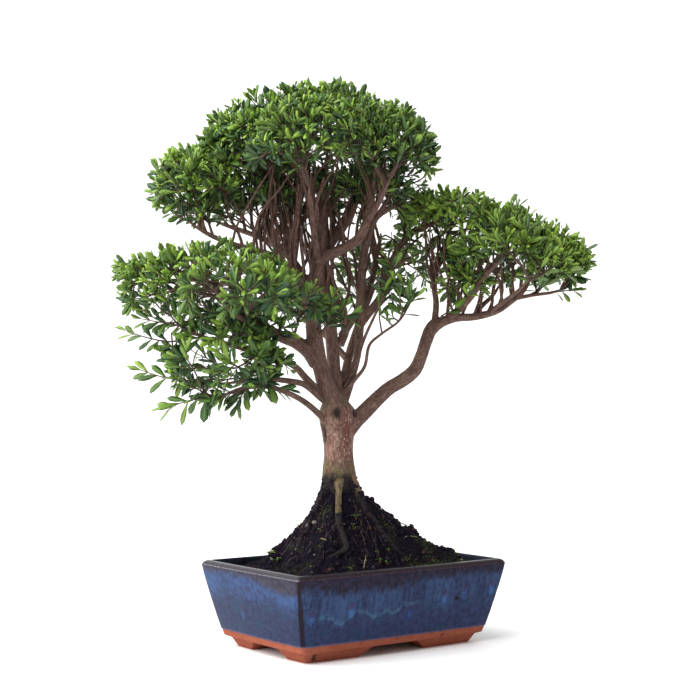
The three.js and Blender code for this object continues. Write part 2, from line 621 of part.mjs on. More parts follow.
/** A leaf's cross-sections from its widest part to its tip, each with the raised midrib
 * underneath and the two edges: [rib, right, left]. */
function leafSections(root, stemward, outward, spread, length, extra = 0) {
  const forward = stemward.clone().multiplyScalar(Math.cos(spread))
    .addScaledVector(outward, Math.sin(spread));
  const up = stemward.clone().multiplyScalar(Math.sin(spread))
    .addScaledVector(outward, -Math.cos(spread));
  const side = new THREE.Vector3().crossVectors(stemward, outward);
  const section = (reach, half, rib) => {
    const middle = root.clone().addScaledVector(forward, reach * (length + extra))
      .addScaledVector(up, -LEAF_ARCH * length * (reach - 0.2) ** 2);
    return [
      middle.clone().addScaledVector(up, -rib - extra),
      middle.clone().addScaledVector(side, half + extra).addScaledVector(up, extra),
      middle.clone().addScaledVector(side, -half - extra).addScaledVector(up, extra),
    ];
  };
  const half = 0.5 * LEAF_WIDTH * length;
  return {
    root: section(0, STALK, LEAF_RIB),
    blade: [section(0.38, half, LEAF_RIB), section(0.72, 0.84 * half, LEAF_RIB * 0.8)],
    tip: section(1, 0, 0)[0],
  };
}

/** Collects the vertices and outward-facing triangles of one closed surface. */
class Surface {
  constructor() {
    this.points = [];
    this.faces = [];
  }

  add(point) {
    this.points.push(point.x, point.y, point.z);
    return this.points.length / 3 - 1;
  }

  face(a, b, c) {
    this.faces.push(a, b, c);
  }

  /** Draws a leaf out of a triangle [rib, right, left] of the surface. */
  leaf(base, { blade, tip }) {
    let edge = base;
    for (const section of blade) {
      const next = section.map((point) => this.add(point));
      for (let i = 0; i < 3; i += 1) {
        const j = (i + 1) % 3;
        this.face(edge[i], edge[j], next[j]);
        this.face(edge[i], next[j], next[i]);
      }
      edge = next;
    }
    const end = this.add(tip);
    for (let i = 0; i < 3; i += 1) this.face(edge[i], edge[(i + 1) % 3], end);
  }

  solid() {
    return new wasm.Manifold(new wasm.Mesh({
      numProp: 3,
      vertProperties: new Float32Array(this.points),
      triVerts: new Uint32Array(this.faces),
    }));
  }
}

/** The space that a leaf needs, as a solid of its own. */
function leafSpace(leaf) {
  const surface = new Surface();
  const root = leaf.root.map((point) => surface.add(point));
  surface.face(root[0], root[2], root[1]);
  surface.leaf(root, leaf);
  return surface.solid();
}

/** Directions along a twig's steps, with a normal carried along without twist. */
function framesAlong(steps) {
  const last = steps.length - 1;
  let normal = null;
  return steps.map((step, i) => {
    const tangent = steps[Math.min(i + 1, last)].at.clone();
    tangent.sub(steps[Math.max(i - 1, 0)].at).normalize();
    if (normal === null) {
      normal = Math.abs(tangent.z) < 0.9 ? new THREE.Vector3(0, 0, 1) : new THREE.Vector3(1, 0, 0);
    }
    normal = normal.clone().addScaledVector(tangent, -normal.dot(tangent)).normalize();
    return { tangent, normal, side: new THREE.Vector3().crossVectors(tangent, normal) };
  });
}

/** The way out from a twig's middle at a quarter turn of a ring. */
function outwardAt(frame, ring, quarter) {
  const angle = (ring + 2 * quarter) * (Math.PI / 4);
  return frame.normal.clone().multiplyScalar(Math.cos(angle))
    .addScaledVector(frame.side, Math.sin(angle));
}

/** A four-sided twig, each ring turned an eighth from the last, with leaves drawn out of its
 * faces: leaves is a map from "ring,quarter" to the leaf that stands there. */
function leafyTwig(steps, frames, leaves) {
  const surface = new Surface();
  const rings = steps.map((step, ring) => [0, 1, 2, 3].map((quarter) => surface.add(
    step.at.clone().addScaledVector(outwardAt(frames[ring], ring, quarter), step.radius),
  )));
  const last = rings.length - 1;
  for (let ring = 0; ring < last; ring += 1) {
    for (let quarter = 0; quarter < 4; quarter += 1) {
      const next = (quarter + 1) % 4;
      const [low, high] = [rings[ring], rings[ring + 1]];
      surface.face(low[quarter], low[next], high[quarter]);
      const base = [low[next], high[next], high[quarter]];
      const leaf = leaves.get(`${ring},${next}`);
      if (leaf) surface.leaf(base, leaf);
      else surface.face(...base);
    }
  }
  const [bottom, top] = [rings[0], rings[last]];
  surface.face(bottom[0], bottom[2], bottom[1]);
  surface.face(bottom[0], bottom[3], bottom[2]);
  surface.face(top[0], top[1], top[2]);
  surface.face(top[0], top[2], top[3]);
  return surface.solid();
}

/** Whether two boxes come within a gap of each other. */
function boxesMeet(a, b) {
  return a.min.every((low, axis) => low < b.max[axis] + GAP && b.min[axis] < a.max[axis] + GAP);
}

/** Builds one clump stem after another, leaving out what would cross an earlier one. */
function makeStems(woodSpace) {
  const { nodes, shoots } = growShoots();
  const radius = tipRadii(nodes, shoots);
  const forks = new Set(shoots.map((shoot) => shoot.nodes[0]));
  const finished = [];
  const clear = (piece) => {
    const box = piece.boundingBox();
    const near = finished.filter((other) => boxesMeet(box, other.box));
    return near.every((other) => other.shape.intersect(piece).isEmpty());
  };
  const hasRoom = (space) => clear(space) && space.intersect(woodSpace).isEmpty();
  const byStem = new Map();
  shoots.forEach((shoot) => {
    if (!byStem.has(shoot.stem)) byStem.set(shoot.stem, []);
    byStem.get(shoot.stem).push(shoot);
  });
  const stems = [];
  for (const [name, own] of byStem) {
    const kept = new Set();
    let shape = null;
    for (const shoot of own) {
      if (shape !== null && !kept.has(shoot.nodes[0])) continue;
      const steps = shoot.nodes
        .filter((i, k, all) => k % TWIG_STRIDE === 0 || k === all.length - 1 || forks.has(i))
        .map((i) => ({ at: nodes[i].at, radius: radius.get(i) ?? radius.get(shoot.nodes[1]) }));
      if (shape === null) steps.unshift({ at: nearestOnWood(steps[0].at), radius: steps[0].radius });
      if (shape === null && steps[0].at.distanceTo(steps[1].at) < 0.5) steps.shift();
      if (!clear(bar(steps, 4, GAP))) continue;
      shoot.nodes.forEach((i) => kept.add(i));
      const grown = growLeaves(steps, shoot, hasRoom);
      shape = shape === null ? grown : shape.add(grown);
    }
    if (shape === null) continue;
    shape = largest(shape.subtract(woodSpace));
    finished.push({ shape, box: shape.boundingBox() });
    stems.push([name, shape]);
  }
  return stems;
}

/** Twig radii: each carries the tips above it. */
function tipRadii(nodes, shoots) {
  const tips = new Map();
  const add = (i, count) => tips.set(i, (tips.get(i) ?? 0) + count);
  const parents = new Map();
  shoots.forEach((shoot) => {
    shoot.nodes.slice(1).forEach((i, k) => parents.set(i, shoot.nodes[k]));
  });
  shoots.forEach((shoot) => {
    let i = shoot.nodes[shoot.nodes.length - 1];
    while (i !== undefined && nodes[i].stem !== null) {
      add(i, 1);
      i = parents.get(i);
    }
  });
  const radii = new Map();
  tips.forEach((count, i) => radii.set(i, TWIG_TIP * (count ** (1 / TWIG_EXPONENT))));
  return radii;
}

/** A shoot with opposite pairs of leaves on its last stretch, leaving out what has no room. */
function growLeaves(steps, shoot, hasRoom) {
  const [tip, below] = [steps[steps.length - 1], steps[steps.length - 2]];
  const reach = tip.at.distanceTo(below.at);
  const stem = steps.slice(0, -1);
  const pairs = [];
  for (let pair = PAIRS_PER_SHOOT - 1; pair >= 0; pair -= 1) {
    const back = Math.min(pair * PAIR_SPACING, reach - 2 * LEAF_BASE);
    for (const distance of [back + LEAF_BASE, back]) {
      const at = tip.at.clone().lerp(below.at, distance / reach);
      stem.push({ at, radius: tip.radius });
    }
    pairs.push({ pair, ring: stem.length - 2 });
  }
  const frames = framesAlong(stem);
  const leaves = new Map();
  for (const { pair, ring } of pairs) {
    const stemward = frames[ring].tangent;
    const first = (pair + Math.round(shoot.turn)) % 2;
    for (const quarter of [first, first + 2]) {
      const spread = 0.8 + 0.25 * pair + 0.2 * shoot.lean;
      const share = (shoot.size + 0.37 * pair + 0.2 * quarter) % 1;
      const length = THREE.MathUtils.lerp(LEAF_LENGTH[0], LEAF_LENGTH[1], share);
      const outward = outwardAt(frames[ring], ring, quarter);
      const root = stem[ring + 1].at.clone().addScaledVector(outward, stem[ring].radius * 0.7);
      if (hasRoom(leafSpace(leafSections(root, stemward, outward, spread, length, GAP)))) {
        leaves.set(`${ring},${quarter}`, leafSections(root, stemward, outward, spread, length));
      }
    }
  }
  return leafyTwig(stem, frames, leaves);
}

// Materials

const finish = {
  glaze: new THREE.MeshStandardMaterial({ color: 0x2f4763, roughness: 0.25, metalness: 0 }),
  screen: new THREE.MeshStandardMaterial({ color: 0x1c1d1c, roughness: 0.6, metalness: 0 }),
  soil: new THREE.MeshStandardMaterial({ color: 0x2b2020, roughness: 0.95, metalness: 0 }),
  bark: new THREE.MeshStandardMaterial({ color: 0x9c7468, roughness: 0.85, metalness: 0 }),
  leaf: new THREE.MeshStandardMaterial({ color: 0x5d8a3c, roughness: 0.45, metalness: 0 }),
};

// The whole plant

const plant = new THREE.Group();

function addNode(name, geometry, material) {
  const mesh = new THREE.Mesh(geometry, material);
  mesh.name = name;
  plant.add(mesh);
}

const wood = makeWood(0);
const woodSpace = makeWood(GAP);
addNode('pot', geometryOf(makePot()), finish.glaze);
addNode('drain_screen_left', geometryOf(makeScreen(-1)), finish.screen);
addNode('drain_screen_right', geometryOf(makeScreen(1)), finish.screen);
addNode('soil', geometryOf(makeSoil(woodSpace)), finish.soil);
addNode('trunk_and_limbs', geometryOf(wood), finish.bark);
for (const [name, shape] of makeStems(woodSpace)) {
  addNode(name, geometryOf(shape), finish.leaf);
}

// The origin goes under the middle of the whole plant
const extent = new THREE.Box3().setFromObject(plant);
const middle = extent.getCenter(new THREE.Vector3());
plant.position.set(-middle.x, -middle.y, -extent.min.z);
plant.updateMatrixWorld(true);

export default plant;
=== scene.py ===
import math

import bmesh
import bpy
import numpy as np
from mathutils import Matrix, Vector, noise


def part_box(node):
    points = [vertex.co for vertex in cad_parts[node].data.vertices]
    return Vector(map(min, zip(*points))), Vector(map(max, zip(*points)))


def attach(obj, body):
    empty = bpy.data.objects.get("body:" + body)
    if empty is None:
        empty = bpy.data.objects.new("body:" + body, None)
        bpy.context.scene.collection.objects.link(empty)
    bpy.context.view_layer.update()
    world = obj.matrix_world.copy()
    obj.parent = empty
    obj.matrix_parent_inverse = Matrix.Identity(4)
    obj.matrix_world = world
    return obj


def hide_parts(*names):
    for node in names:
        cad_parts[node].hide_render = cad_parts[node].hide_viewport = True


# A small-leaved myrtle bonsai in a glazed rectangular pot.
# Tables and growing are in millimetres, in the pot's own axes: X along its long side, origin
# under its middle. Meshes are in metres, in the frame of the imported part.

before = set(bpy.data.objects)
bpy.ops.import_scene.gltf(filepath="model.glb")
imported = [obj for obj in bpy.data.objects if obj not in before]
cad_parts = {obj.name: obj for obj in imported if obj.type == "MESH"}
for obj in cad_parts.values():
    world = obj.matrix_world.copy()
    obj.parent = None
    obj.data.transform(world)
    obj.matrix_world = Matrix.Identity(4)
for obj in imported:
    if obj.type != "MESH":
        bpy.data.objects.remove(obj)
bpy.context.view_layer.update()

# The tree's points are given as it is seen from in front of the pot's near corner:
# [across, away, up], with the pot turned by VIEW_TURN under it, and limbs add a radius.
VIEW_TURN = math.radians(36.5)
pot_low, pot_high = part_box("pot")
SHIFT = np.array([(pot_low.x + pot_high.x) / 2, (pot_low.y + pot_high.y) / 2, 0.0])

# Pot
POT_LENGTH = 280
POT_WIDTH = 192
POT_HEIGHT = 92.5
POT_CORNER = 5
POT_BOW = 1.5
FOOT_HEIGHT = 11
FLOOR_TOP = 24
DRAIN_RADIUS = 8
DRAIN_OFFSET = 62
LONG_FOOT_GAP = [88, 58]
SHORT_FOOT_GAP = [66, 46]
FOOT_RECESS = [180, 92]
# [height, how far the outside stands in from the rim's outline]
POT_PROFILE = [
    [0, 30], [9.5, 24.5], [11.2, 20], [12, 18.6], [18.2, 16.9], [18.8, 16.1], [34, 12.1],
    [50, 8.2], [64, 4.9], [78, 1.8], [84, 0.8], [87.2, 0.2], [88.4, 0.3], [89.5, 0.8], [90.6, 1.6],
    [91.5, 2.6], [92.2, 3.8], [92.5, 5.2],
]
# The same for the hollow inside
HOLLOW_PROFILE = [[24, 24.5], [50, 17.5], [76, 11], [90, 9.4], [91.6, 8.9], [93, 7.6], [95.5, 6]]

# Soil: heights at the wall and at the trunk's collar, the collar's radius, how steeply it falls
# between and how much that leans along the pot, how far in from the rim's outline it starts,
# its underside, and the pitch of its surface's grid
SOIL_EDGE = 83
SOIL_CROWN = 172
SOIL_COLLAR = 17
SOIL_STEEP = 1.9
SOIL_LEAN = 0.5
SOIL_SETBACK = 10.63
SOIL_FLOOR = 24.35
SOIL_PITCH = 1.5

# Wood that grew as one piece. Each limb starts inside the one that carries it.
LIMBS = {
    "trunk": [[-14, 0, 92, 17], [-14, 0, 140, 20], [-15, 0, 166, 20.4], [-16.2, 0, 190, 18.4],
        [-17.5, -1, 212, 16.2], [-17.5, -1, 233, 17.8], [-20, -2, 256, 19], [-21.5, -2, 274, 17.5]],
    "left_stem": [[-22, -3, 262, 12.5], [-31, -8, 285, 10.4], [-38, -12, 307, 8.8], [-43, -18, 332, 9.2],
        [-45, -18, 358, 9], [-46, -14, 384, 8.5], [-42, -8, 406, 8.5], [-38, -4, 425, 9.5]],
    "leader": [[-39, -4, 420, 8.5], [-37, -2, 450, 7.5], [-36, 0, 478, 6.5], [-34, 4, 510, 5],
        [-30, 8, 545, 3.2]],
    "right_arm": [[-38, -4, 425, 6.5], [-20, -8, 432, 6.2], [5, -14, 446, 5.6], [15, -18, 470, 4.6],
        [19, -22, 497, 3.8], [25, -28, 525, 2.5]],
    "mid_arm": [[-37, -2, 428, 6.8], [-24, 10, 448, 6.5], [-5, 22, 478, 6], [2, 30, 505, 4.4],
        [8, 36, 532, 2.8]],
    "centre_stem": [[-19, 4, 272, 8.4], [-22.5, 10, 303, 7.6], [-25, 16, 335, 7.6], [-29, 20, 369, 7],
        [-32, 26, 397, 6.4], [-36, 34, 426, 5.8], [-44, 46, 460, 4.8], [-52, 58, 496, 3.6],
        [-56, 66, 524, 2.6]],
    "third": [[-12, 8, 268, 6.6], [0, 20, 302, 4.4], [4.5, 28, 326, 4.8], [6, 32, 345, 5.2],
        [7, 34, 366, 5.5], [8, 34, 395, 5.2], [10, 32, 425, 5], [15, 30, 449, 4.6], [24, 30, 474, 4.2],
        [40, 34, 486, 3.6], [58, 36, 497, 3], [80, 40, 512, 2]],
    "third_up": [[30, 31, 480, 2.8], [40, 28, 500, 2.3], [46, 24, 526, 1.8]],
    "red_limb": [[4, 32, 350, 5.2], [16, 37, 366, 5], [30, 44, 385, 4.8], [36, 50, 406, 4.5],
        [50, 58, 440, 4.2], [68, 66, 462, 3.8], [92, 72, 474, 3], [112, 74, 483, 2.2]],
    "red_low": [[42, 54, 420, 2.6], [56, 60, 428, 2.2], [76, 66, 438, 1.8]],
    "back_fork_left": [[-16, 22, 330, 5.2], [-10, 28, 350, 5], [-20, 40, 372, 4.6], [-34, 56, 400, 4],
        [-52, 74, 432, 3.2], [-66, 88, 462, 2.4]],
    "back_fork_right": [[-14, 24, 340, 4.8], [-4, 30, 356, 4.6], [10, 44, 378, 4.2], [20, 60, 404, 3.6],
        [26, 72, 432, 2.8], [30, 80, 458, 2]],
    "left_limb": [[-42, -16, 306, 7.6], [-50, -20, 321, 8], [-63, -27, 331, 7.4],
        [-77, -40, 336, 6.6], [-90, -55, 342, 5.8], [-108, -72, 352, 4.8], [-130, -88, 366, 3.8],
        [-155, -100, 382, 2.6]],
    "left_limb_back": [[-92, -57, 343, 3.8], [-112, -60, 362, 3.4], [-140, -60, 380, 3],
        [-170, -62, 396, 2.4], [-195, -66, 408, 1.8]],
    "left_limb_front": [[-100, -66, 348, 3.4], [-116, -98, 352, 3], [-130, -126, 362, 2.4],
        [-140, -148, 378, 1.8]],
    "low_limb": [[-32, -8, 270, 4.4], [-53, -20, 292, 4], [-64, -30, 304, 3.6], [-81, -45, 312, 3.2],
        [-104, -62, 319, 3], [-130, -78, 326, 2.6], [-158, -90, 334, 2], [-182, -100, 345, 1.5]],
    "lower_limb": [[-34, -10, 268, 3.8], [-53, -26, 284, 3.4], [-68, -46, 288, 3.2], [-90, -66, 290, 2.6],
        [-115, -84, 288, 2.1], [-140, -100, 284, 1.5]],
    "lowest_limb": [[-26, -6, 240, 3.8], [-50, -28, 263, 3.3], [-70, -52, 275, 3], [-92, -72, 282, 2.6],
        [-118, -88, 280, 2], [-142, -98, 270, 1.5]],
    "dome_left": [[-46, -16, 366, 5.4], [-58, -20, 392, 4.8], [-72, -28, 412, 4.5], [-89, -40, 424, 4.2],
        [-112, -52, 430, 3.8], [-135, -60, 436, 3.2], [-158, -66, 446, 2.6], [-180, -66, 460, 1.9]],
    "dome_left_up": [[-62, -22, 398, 4], [-68, -22, 418, 3.8], [-70, -26, 440, 3.5], [-64, -32, 462, 3],
        [-58, -38, 490, 2.5], [-56, -44, 518, 1.8]],
    "dome_left_back": [[-46, -14, 384, 5], [-66, 0, 420, 4.4], [-89, 15, 442, 4], [-114, 28, 455, 3.4],
        [-142, 40, 466, 2.8], [-168, 44, 476, 2]],
    "dome_mid_left": [[-88, 14, 441, 3.8], [-98, 10, 462, 3.4], [-100, 6, 488, 3], [-98, 0, 512, 2.2]],
    "dome_front": [[-40, -8, 424, 4.2], [-43, -30, 445, 3.6], [-45, -60, 468, 3], [-48, -86, 494, 2]],
    "dome_front_right": [[0, -12, 442, 3.6], [14, -38, 460, 3.2], [28, -64, 482, 2.6],
        [38, -84, 502, 1.8]],
    "right_branch": [[-14, 0, 228, 11], [0, 2, 244, 9.6], [10, 5, 253.5, 9], [26, 12, 269.5, 8.4],
        [40, 20, 281.5, 8], [55, 28, 290.5, 7.8], [69, 36, 302, 7.7], [76.5, 42, 318, 7.4],
        [82, 48, 334, 7.2], [89, 54, 351, 7.2], [98, 58, 363, 7]],
    "right_end": [[88, 53, 347, 6.4], [100, 58, 357, 6.2], [118, 62, 363, 5.2], [136, 66, 364, 4.6],
        [152, 70, 367, 4.4], [168, 74, 373, 4.4], [181, 78, 382, 4.2], [196, 82, 394, 3.8],
        [205, 86, 408, 3], [212, 88, 424, 2.2]],
    "right_mid": [[108, 60, 363, 4.4], [122, 56, 373, 4], [134, 50, 386, 3.8], [142, 44, 398, 3.4],
        [152, 36, 412, 3], [165, 26, 426, 2.2]],
    "right_up": [[93, 57, 358, 4], [95, 62, 380, 3.5], [93, 68, 401, 3.2], [96, 74, 419, 2.8],
        [102, 80, 440, 2.4], [110, 84, 460, 1.8]],
    "right_back": [[140, 67, 365, 3.2], [150, 85, 378, 2.8], [165, 105, 392, 2.3], [176, 120, 408, 1.7]],
    "right_front": [[156, 71, 368, 3], [168, 52, 378, 2.6], [184, 32, 390, 2.1], [196, 14, 402, 1.5]],
    "right_tip": [[190, 80, 387, 2.6], [210, 84, 391, 2.1], [232, 86, 394, 1.7], [250, 84, 400, 1.3]],
    "back_limb": [[-12, 10, 288, 5.4], [-4, 45, 325, 4.8], [6, 80, 358, 4.2], [18, 108, 388, 3.4],
        [30, 126, 414, 2.4]],
    "back_left": [[-8, 32, 314, 4], [-30, 64, 340, 3.4], [-58, 92, 362, 2.8], [-86, 110, 384, 2]],
    "gap_twig": [[-12, 4, 276, 2.6], [2, 3, 292, 2.2], [12, 0, 306, 1.9], [17, 4, 329, 1.7],
        [31, 6, 342, 1.5], [50, 8, 356, 1.3], [62, 10, 374, 1.1]],
    "gap_riser": [[-10, 6, 282, 2.4], [2, 8, 308, 2], [10, 10, 333, 1.8], [20, 13, 356, 1.6],
        [29, 16, 374, 1.3], [38, 18, 388, 1]],
}

ROOTS = {
    "front_root": [[-14, -10, 12, 6], [-16.5, -20, 8, 4], [-17, -31, 4, 3.7], [-16, -42, 2, 4],
        [-9, -55, 1, 3.8], [-18, -66, 0, 3], [-32, -74, -4, 2]],
    "right_root": [[-6, -8, 10, 8], [5, -13, 5, 5.4], [14, -17, 1.5, 4.4], [34, -24, 0, 3.4],
        [52, -30, -1, 2.6], [70, -34, -5, 2]],
    "left_root": [[-25, -6, 6, 7], [-36, -12, 2, 5], [-48, -22, 0.5, 3.8], [-60, -32, -0.5, 3],
        [-70, -44, -5, 2.2]],
    "back_root": [[-12, 10, 6, 8], [-8, 26, 1, 5.4], [-2, 42, 0, 4], [8, 58, -5, 2.4]],
    "side_root": [[-28, 6, 6, 7], [-42, 14, 1, 5], [-56, 20, 0, 3.6], [-68, 28, -5, 2.2]],
}

# Where leaves are: ellipsoids over the limbs, whose shoots all end near their surface.
# [clump, centre, half sizes, limbs, stems, shoots of the solids, shoots in all, lowest slope,
# leaf size, how much younger and brighter its leaves are, partly young growth and partly painted light]
CLUMPS = [
    ["crown", [-28, 0, 556], [72, 78, 66],
     ["leader", "mid_arm", "right_arm", "centre_stem"], 3, 8, 165, 0, 0.84, 0.08],
    ["crown_front", [-42, -84, 530], [74, 52, 58],
     ["dome_front", "dome_left_up", "leader"], 2, 5, 125, -0.25, 0.84, 0.1],
    ["crown_left", [-106, -20, 535], [72, 72, 56],
     ["dome_mid_left", "dome_left_up", "dome_left_back", "dome_left"], 2, 6, 130, -0.15, 0.88, 0.14],
    ["crown_far_left", [-170, -40, 500], [52, 66, 42],
     ["dome_left", "dome_left_back"], 2, 5, 100, -0.45, 0.92, 0.3],
    ["crown_right", [32, -20, 537], [58, 74, 59],
     ["right_arm", "third", "third_up", "dome_front_right"], 3, 6, 135, -0.3, 0.86, 0.05],
    ["crown_back", [-40, 84, 528], [84, 56, 56],
     ["centre_stem", "back_fork_left", "mid_arm", "back_fork_right"], 3, 6, 105, -0.3, 0.86, 0.0],
    ["left_top", [-150, -80, 396], [84, 62, 38],
     ["left_limb", "left_limb_back", "low_limb"], 3, 7, 68, -0.5, 0.98, 0.16],
    ["left_tip", [-200, -78, 384], [52, 52, 36],
     ["left_limb_back", "low_limb", "left_limb"], 2, 4, 40, -0.6, 0.88, 0.2],
    ["left_front", [-120, -140, 372], [66, 40, 42],
     ["left_limb_front", "left_limb"], 2, 4, 34, -0.6, 1.04, 0.1],
    ["left_low", [-136, -94, 306], [66, 56, 42],
     ["low_limb", "lower_limb", "lowest_limb"], 3, 6, 46, -0.9, 1.12, 0.08],
    ["left_near", [-72, -80, 368], [44, 44, 36],
     ["left_limb", "left_limb_front"], 1, 2, 16, -0.5, 1.0, 0.02],
    ["right_top", [112, 60, 474], [66, 62, 38],
     ["right_up", "red_limb", "right_mid"], 2, 5, 74, -0.4, 0.9, 0.4],
    ["right_middle", [162, 50, 444], [56, 66, 40],
     ["right_mid", "right_front", "right_end"], 2, 5, 74, -0.5, 0.98, 0.38],
    ["right_tip", [218, 70, 427], [56, 54, 36],
     ["right_end", "right_tip", "right_front", "right_back"], 3, 5, 72, -0.6, 1.0, 0.46],
    ["right_back", [165, 110, 436], [56, 44, 36],
     ["right_back", "right_end", "right_up"], 2, 3, 40, -0.5, 0.95, 0.2],
    ["back", [40, 128, 420], [70, 48, 46],
     ["back_limb", "back_fork_right"], 2, 4, 40, -0.6, 1.0, 0.05],
    ["back_left", [-90, 112, 390], [58, 44, 38],
     ["back_left"], 2, 3, 46, -0.6, 1.0, 0.05],
    ["gap", [46, 12, 384], [24, 22, 22],
     ["gap_twig", "gap_riser"], 1, 1, 6, -1, 1.15, 0.1],
]

# Loose sprays that belong to a clump's first stem but stand apart from it:
# [clump, centre, half sizes, limbs, shoots, leaf size]
SPRAYS = [
    ["left_near", [-30, -52, 362], [34, 20, 22], ["left_limb", "left_stem"], 8, 1.04],
    ["gap", [36, 6, 410], [20, 20, 32], ["third", "gap_riser"], 3, 1.2],
    ["right_top", [60, 64, 432], [48, 30, 46], ["red_limb", "red_low"], 8, 0.95],
    ["left_low", [-96, -72, 300], [30, 26, 26], ["low_limb", "lower_limb"], 9, 1.1],
    ["left_low", [-140, -86, 352], [60, 40, 22], ["low_limb", "left_limb"], 30, 1.02],
    ["left_low", [-100, -70, 338], [36, 30, 18], ["low_limb", "left_limb"], 12, 1.02],
    ["right_middle", [126, 52, 402], [40, 34, 26], ["right_mid", "right_end"], 20, 0.95],
    ["crown_left", [-92, -20, 588], [46, 46, 22], ["dome_mid_left", "dome_left_up"], 26, 0.9],
    ["right_middle", [180, 56, 476], [36, 40, 20], ["right_mid", "right_end"], 20, 1.0],
    ["right_tip", [226, 70, 456], [34, 36, 20], ["right_end", "right_tip"], 18, 1.05],
    ["right_tip", [258, 72, 434], [18, 26, 16], ["right_tip"], 9, 1.0],
    ["right_top", [78, 60, 490], [34, 44, 18], ["third", "red_limb"], 16, 1.0],
    ["left_tip", [-236, -78, 402], [24, 30, 14], ["left_limb_back"], 13, 0.9],
    ["crown_left", [-70, -20, 602], [22, 40, 12], ["dome_left_up", "dome_mid_left"], 10, 0.86],
    ["crown_far_left", [-142, -56, 520], [32, 40, 42], ["dome_left", "dome_mid_left"], 34, 0.84],
    ["crown_left", [-72, -66, 552], [30, 34, 40], ["dome_left_up", "dome_front"], 22, 0.84],
    ["crown_right", [4, -62, 552], [30, 34, 40], ["dome_front_right", "right_arm"], 22, 0.84],
    ["right_top", [92, 60, 487], [18, 30, 12], ["third", "red_limb"], 10, 1.0],
    ["right_middle", [154, 60, 478], [20, 30, 12], ["right_mid", "right_up"], 10, 1.05],
    ["right_tip", [218, 70, 456], [20, 30, 14], ["right_end", "right_front"], 12, 1.05],
    ["right_tip", [254, 76, 436], [14, 24, 12], ["right_tip"], 8, 1.05],
    ["left_low", [-190, -92, 292], [24, 20, 12], ["low_limb", "lower_limb"], 4, 1.1],
    ["left_low", [-150, -96, 268], [26, 16, 9], ["lowest_limb"], 5, 1.05],
]

# Leaves at the dome's underside, on the branchlets, less bright than the clump's others, as painted
# shade:
# [clump, centre, half sizes, shoots, leaf size]
UNDERSIDE = [
    ["crown", [-40, 22, 512], [84, 54, 26], 76, 0.84],
    ["crown_left", [-104, -6, 496], [60, 52, 24], 50, 0.86],
    ["crown_far_left", [-164, -45, 474], [40, 50, 18], 26, 0.88],
    ["crown_right", [34, 10, 506], [48, 52, 22], 36, 0.86],
    ["crown_back", [-30, 64, 490], [90, 40, 24], 36, 0.86],
]

# Clumps that make the dome, with strong branchlets under them, and those of the right pad
DOME = ["crown", "crown_front", "crown_left", "crown_far_left", "crown_right", "crown_back"]
RIGHT_PAD = ["right_top", "right_middle", "right_tip"]

# Limbs thick enough to flow into each other; the others are plain tapering bars
STOUT = [
    "trunk", "left_stem", "leader", "right_arm", "mid_arm", "centre_stem", "third", "red_limb",
    "left_limb", "right_branch", "right_end", "dome_left", "dome_left_back", "back_limb",
]

# How shoots grow: steps between two points of a limb, a shoot's step, what bends and a long way
# from the trunk cost where a shoot chooses its start, and how far a step strays
SPAN_STEPS = 5
STEP = 14
BEND_COST = 1.6
PATH_COST = 0.25
STRAY = 0.26
# No shoot ends deeper than this in another clump, whose middle counts 0 and outside 1, and no
# shoot past the solids' own ends further back than the limit
SHADED = 0.72
BACK_LIMIT = 178
# A twig's radius at its tip, how radii add up where twigs meet, and a limb's last taper
TWIG_TIP = 0.55
TWIG_EXPONENT = 2.1
LIMB_END = 0.5
# Shoots past the solids' own end on a smaller, ragged shell
EXTRA_SHELL = 0.95
RAGGED = 0.1
# How much wider large leaves are spaced, and how much darker leaves are below a height, as painted shade
LOOSE = 1.5
LOW_LEAVES = 372
LOW_PAINTED_SHADE_TINT = 0.62

# Branchlets that rise from the dome's arms into its leaves: how many on each arm
BRANCHLETS = {
    "leader": 12, "right_arm": 11, "mid_arm": 10, "centre_stem": 12, "third": 14, "dome_left": 30,
    "dome_left_up": 14, "dome_left_back": 28, "dome_mid_left": 8, "dome_front": 13,
    "dome_front_right": 10, "back_fork_left": 12, "back_fork_right": 9, "left_stem": 9, "red_limb": 7,
}
RIGHT_BRANCHLETS = {
    "right_up": 11, "right_mid": 12, "right_end": 18, "right_front": 6, "right_back": 4,
    "red_low": 4,
}
BRANCHLET_RADIUS = 2.0
# How far from the trunk a branchlet counts as starting, where a shoot chooses its start
BRANCHLET_PATH = 60
FAN_CENTRE = np.array([-35, 0, 290])
RIGHT_FAN_CENTRE = np.array([110, 58, 300])

# Leaves: opposite pairs, each pair turned a quarter from the last. For each pair, from the
# shoot's tip down: [distance from the tip, length, spread from the shoot, age, how often]
LEAF_PAIRS = [
    [0, 9, 0.26, 0.0, 1], [4.2, 15, 0.48, 0.15, 1], [10, 19, 0.7, 0.4, 1],
    [17, 20, 0.92, 0.7, 0.85], [25, 19, 1.1, 0.95, 0.55],
]

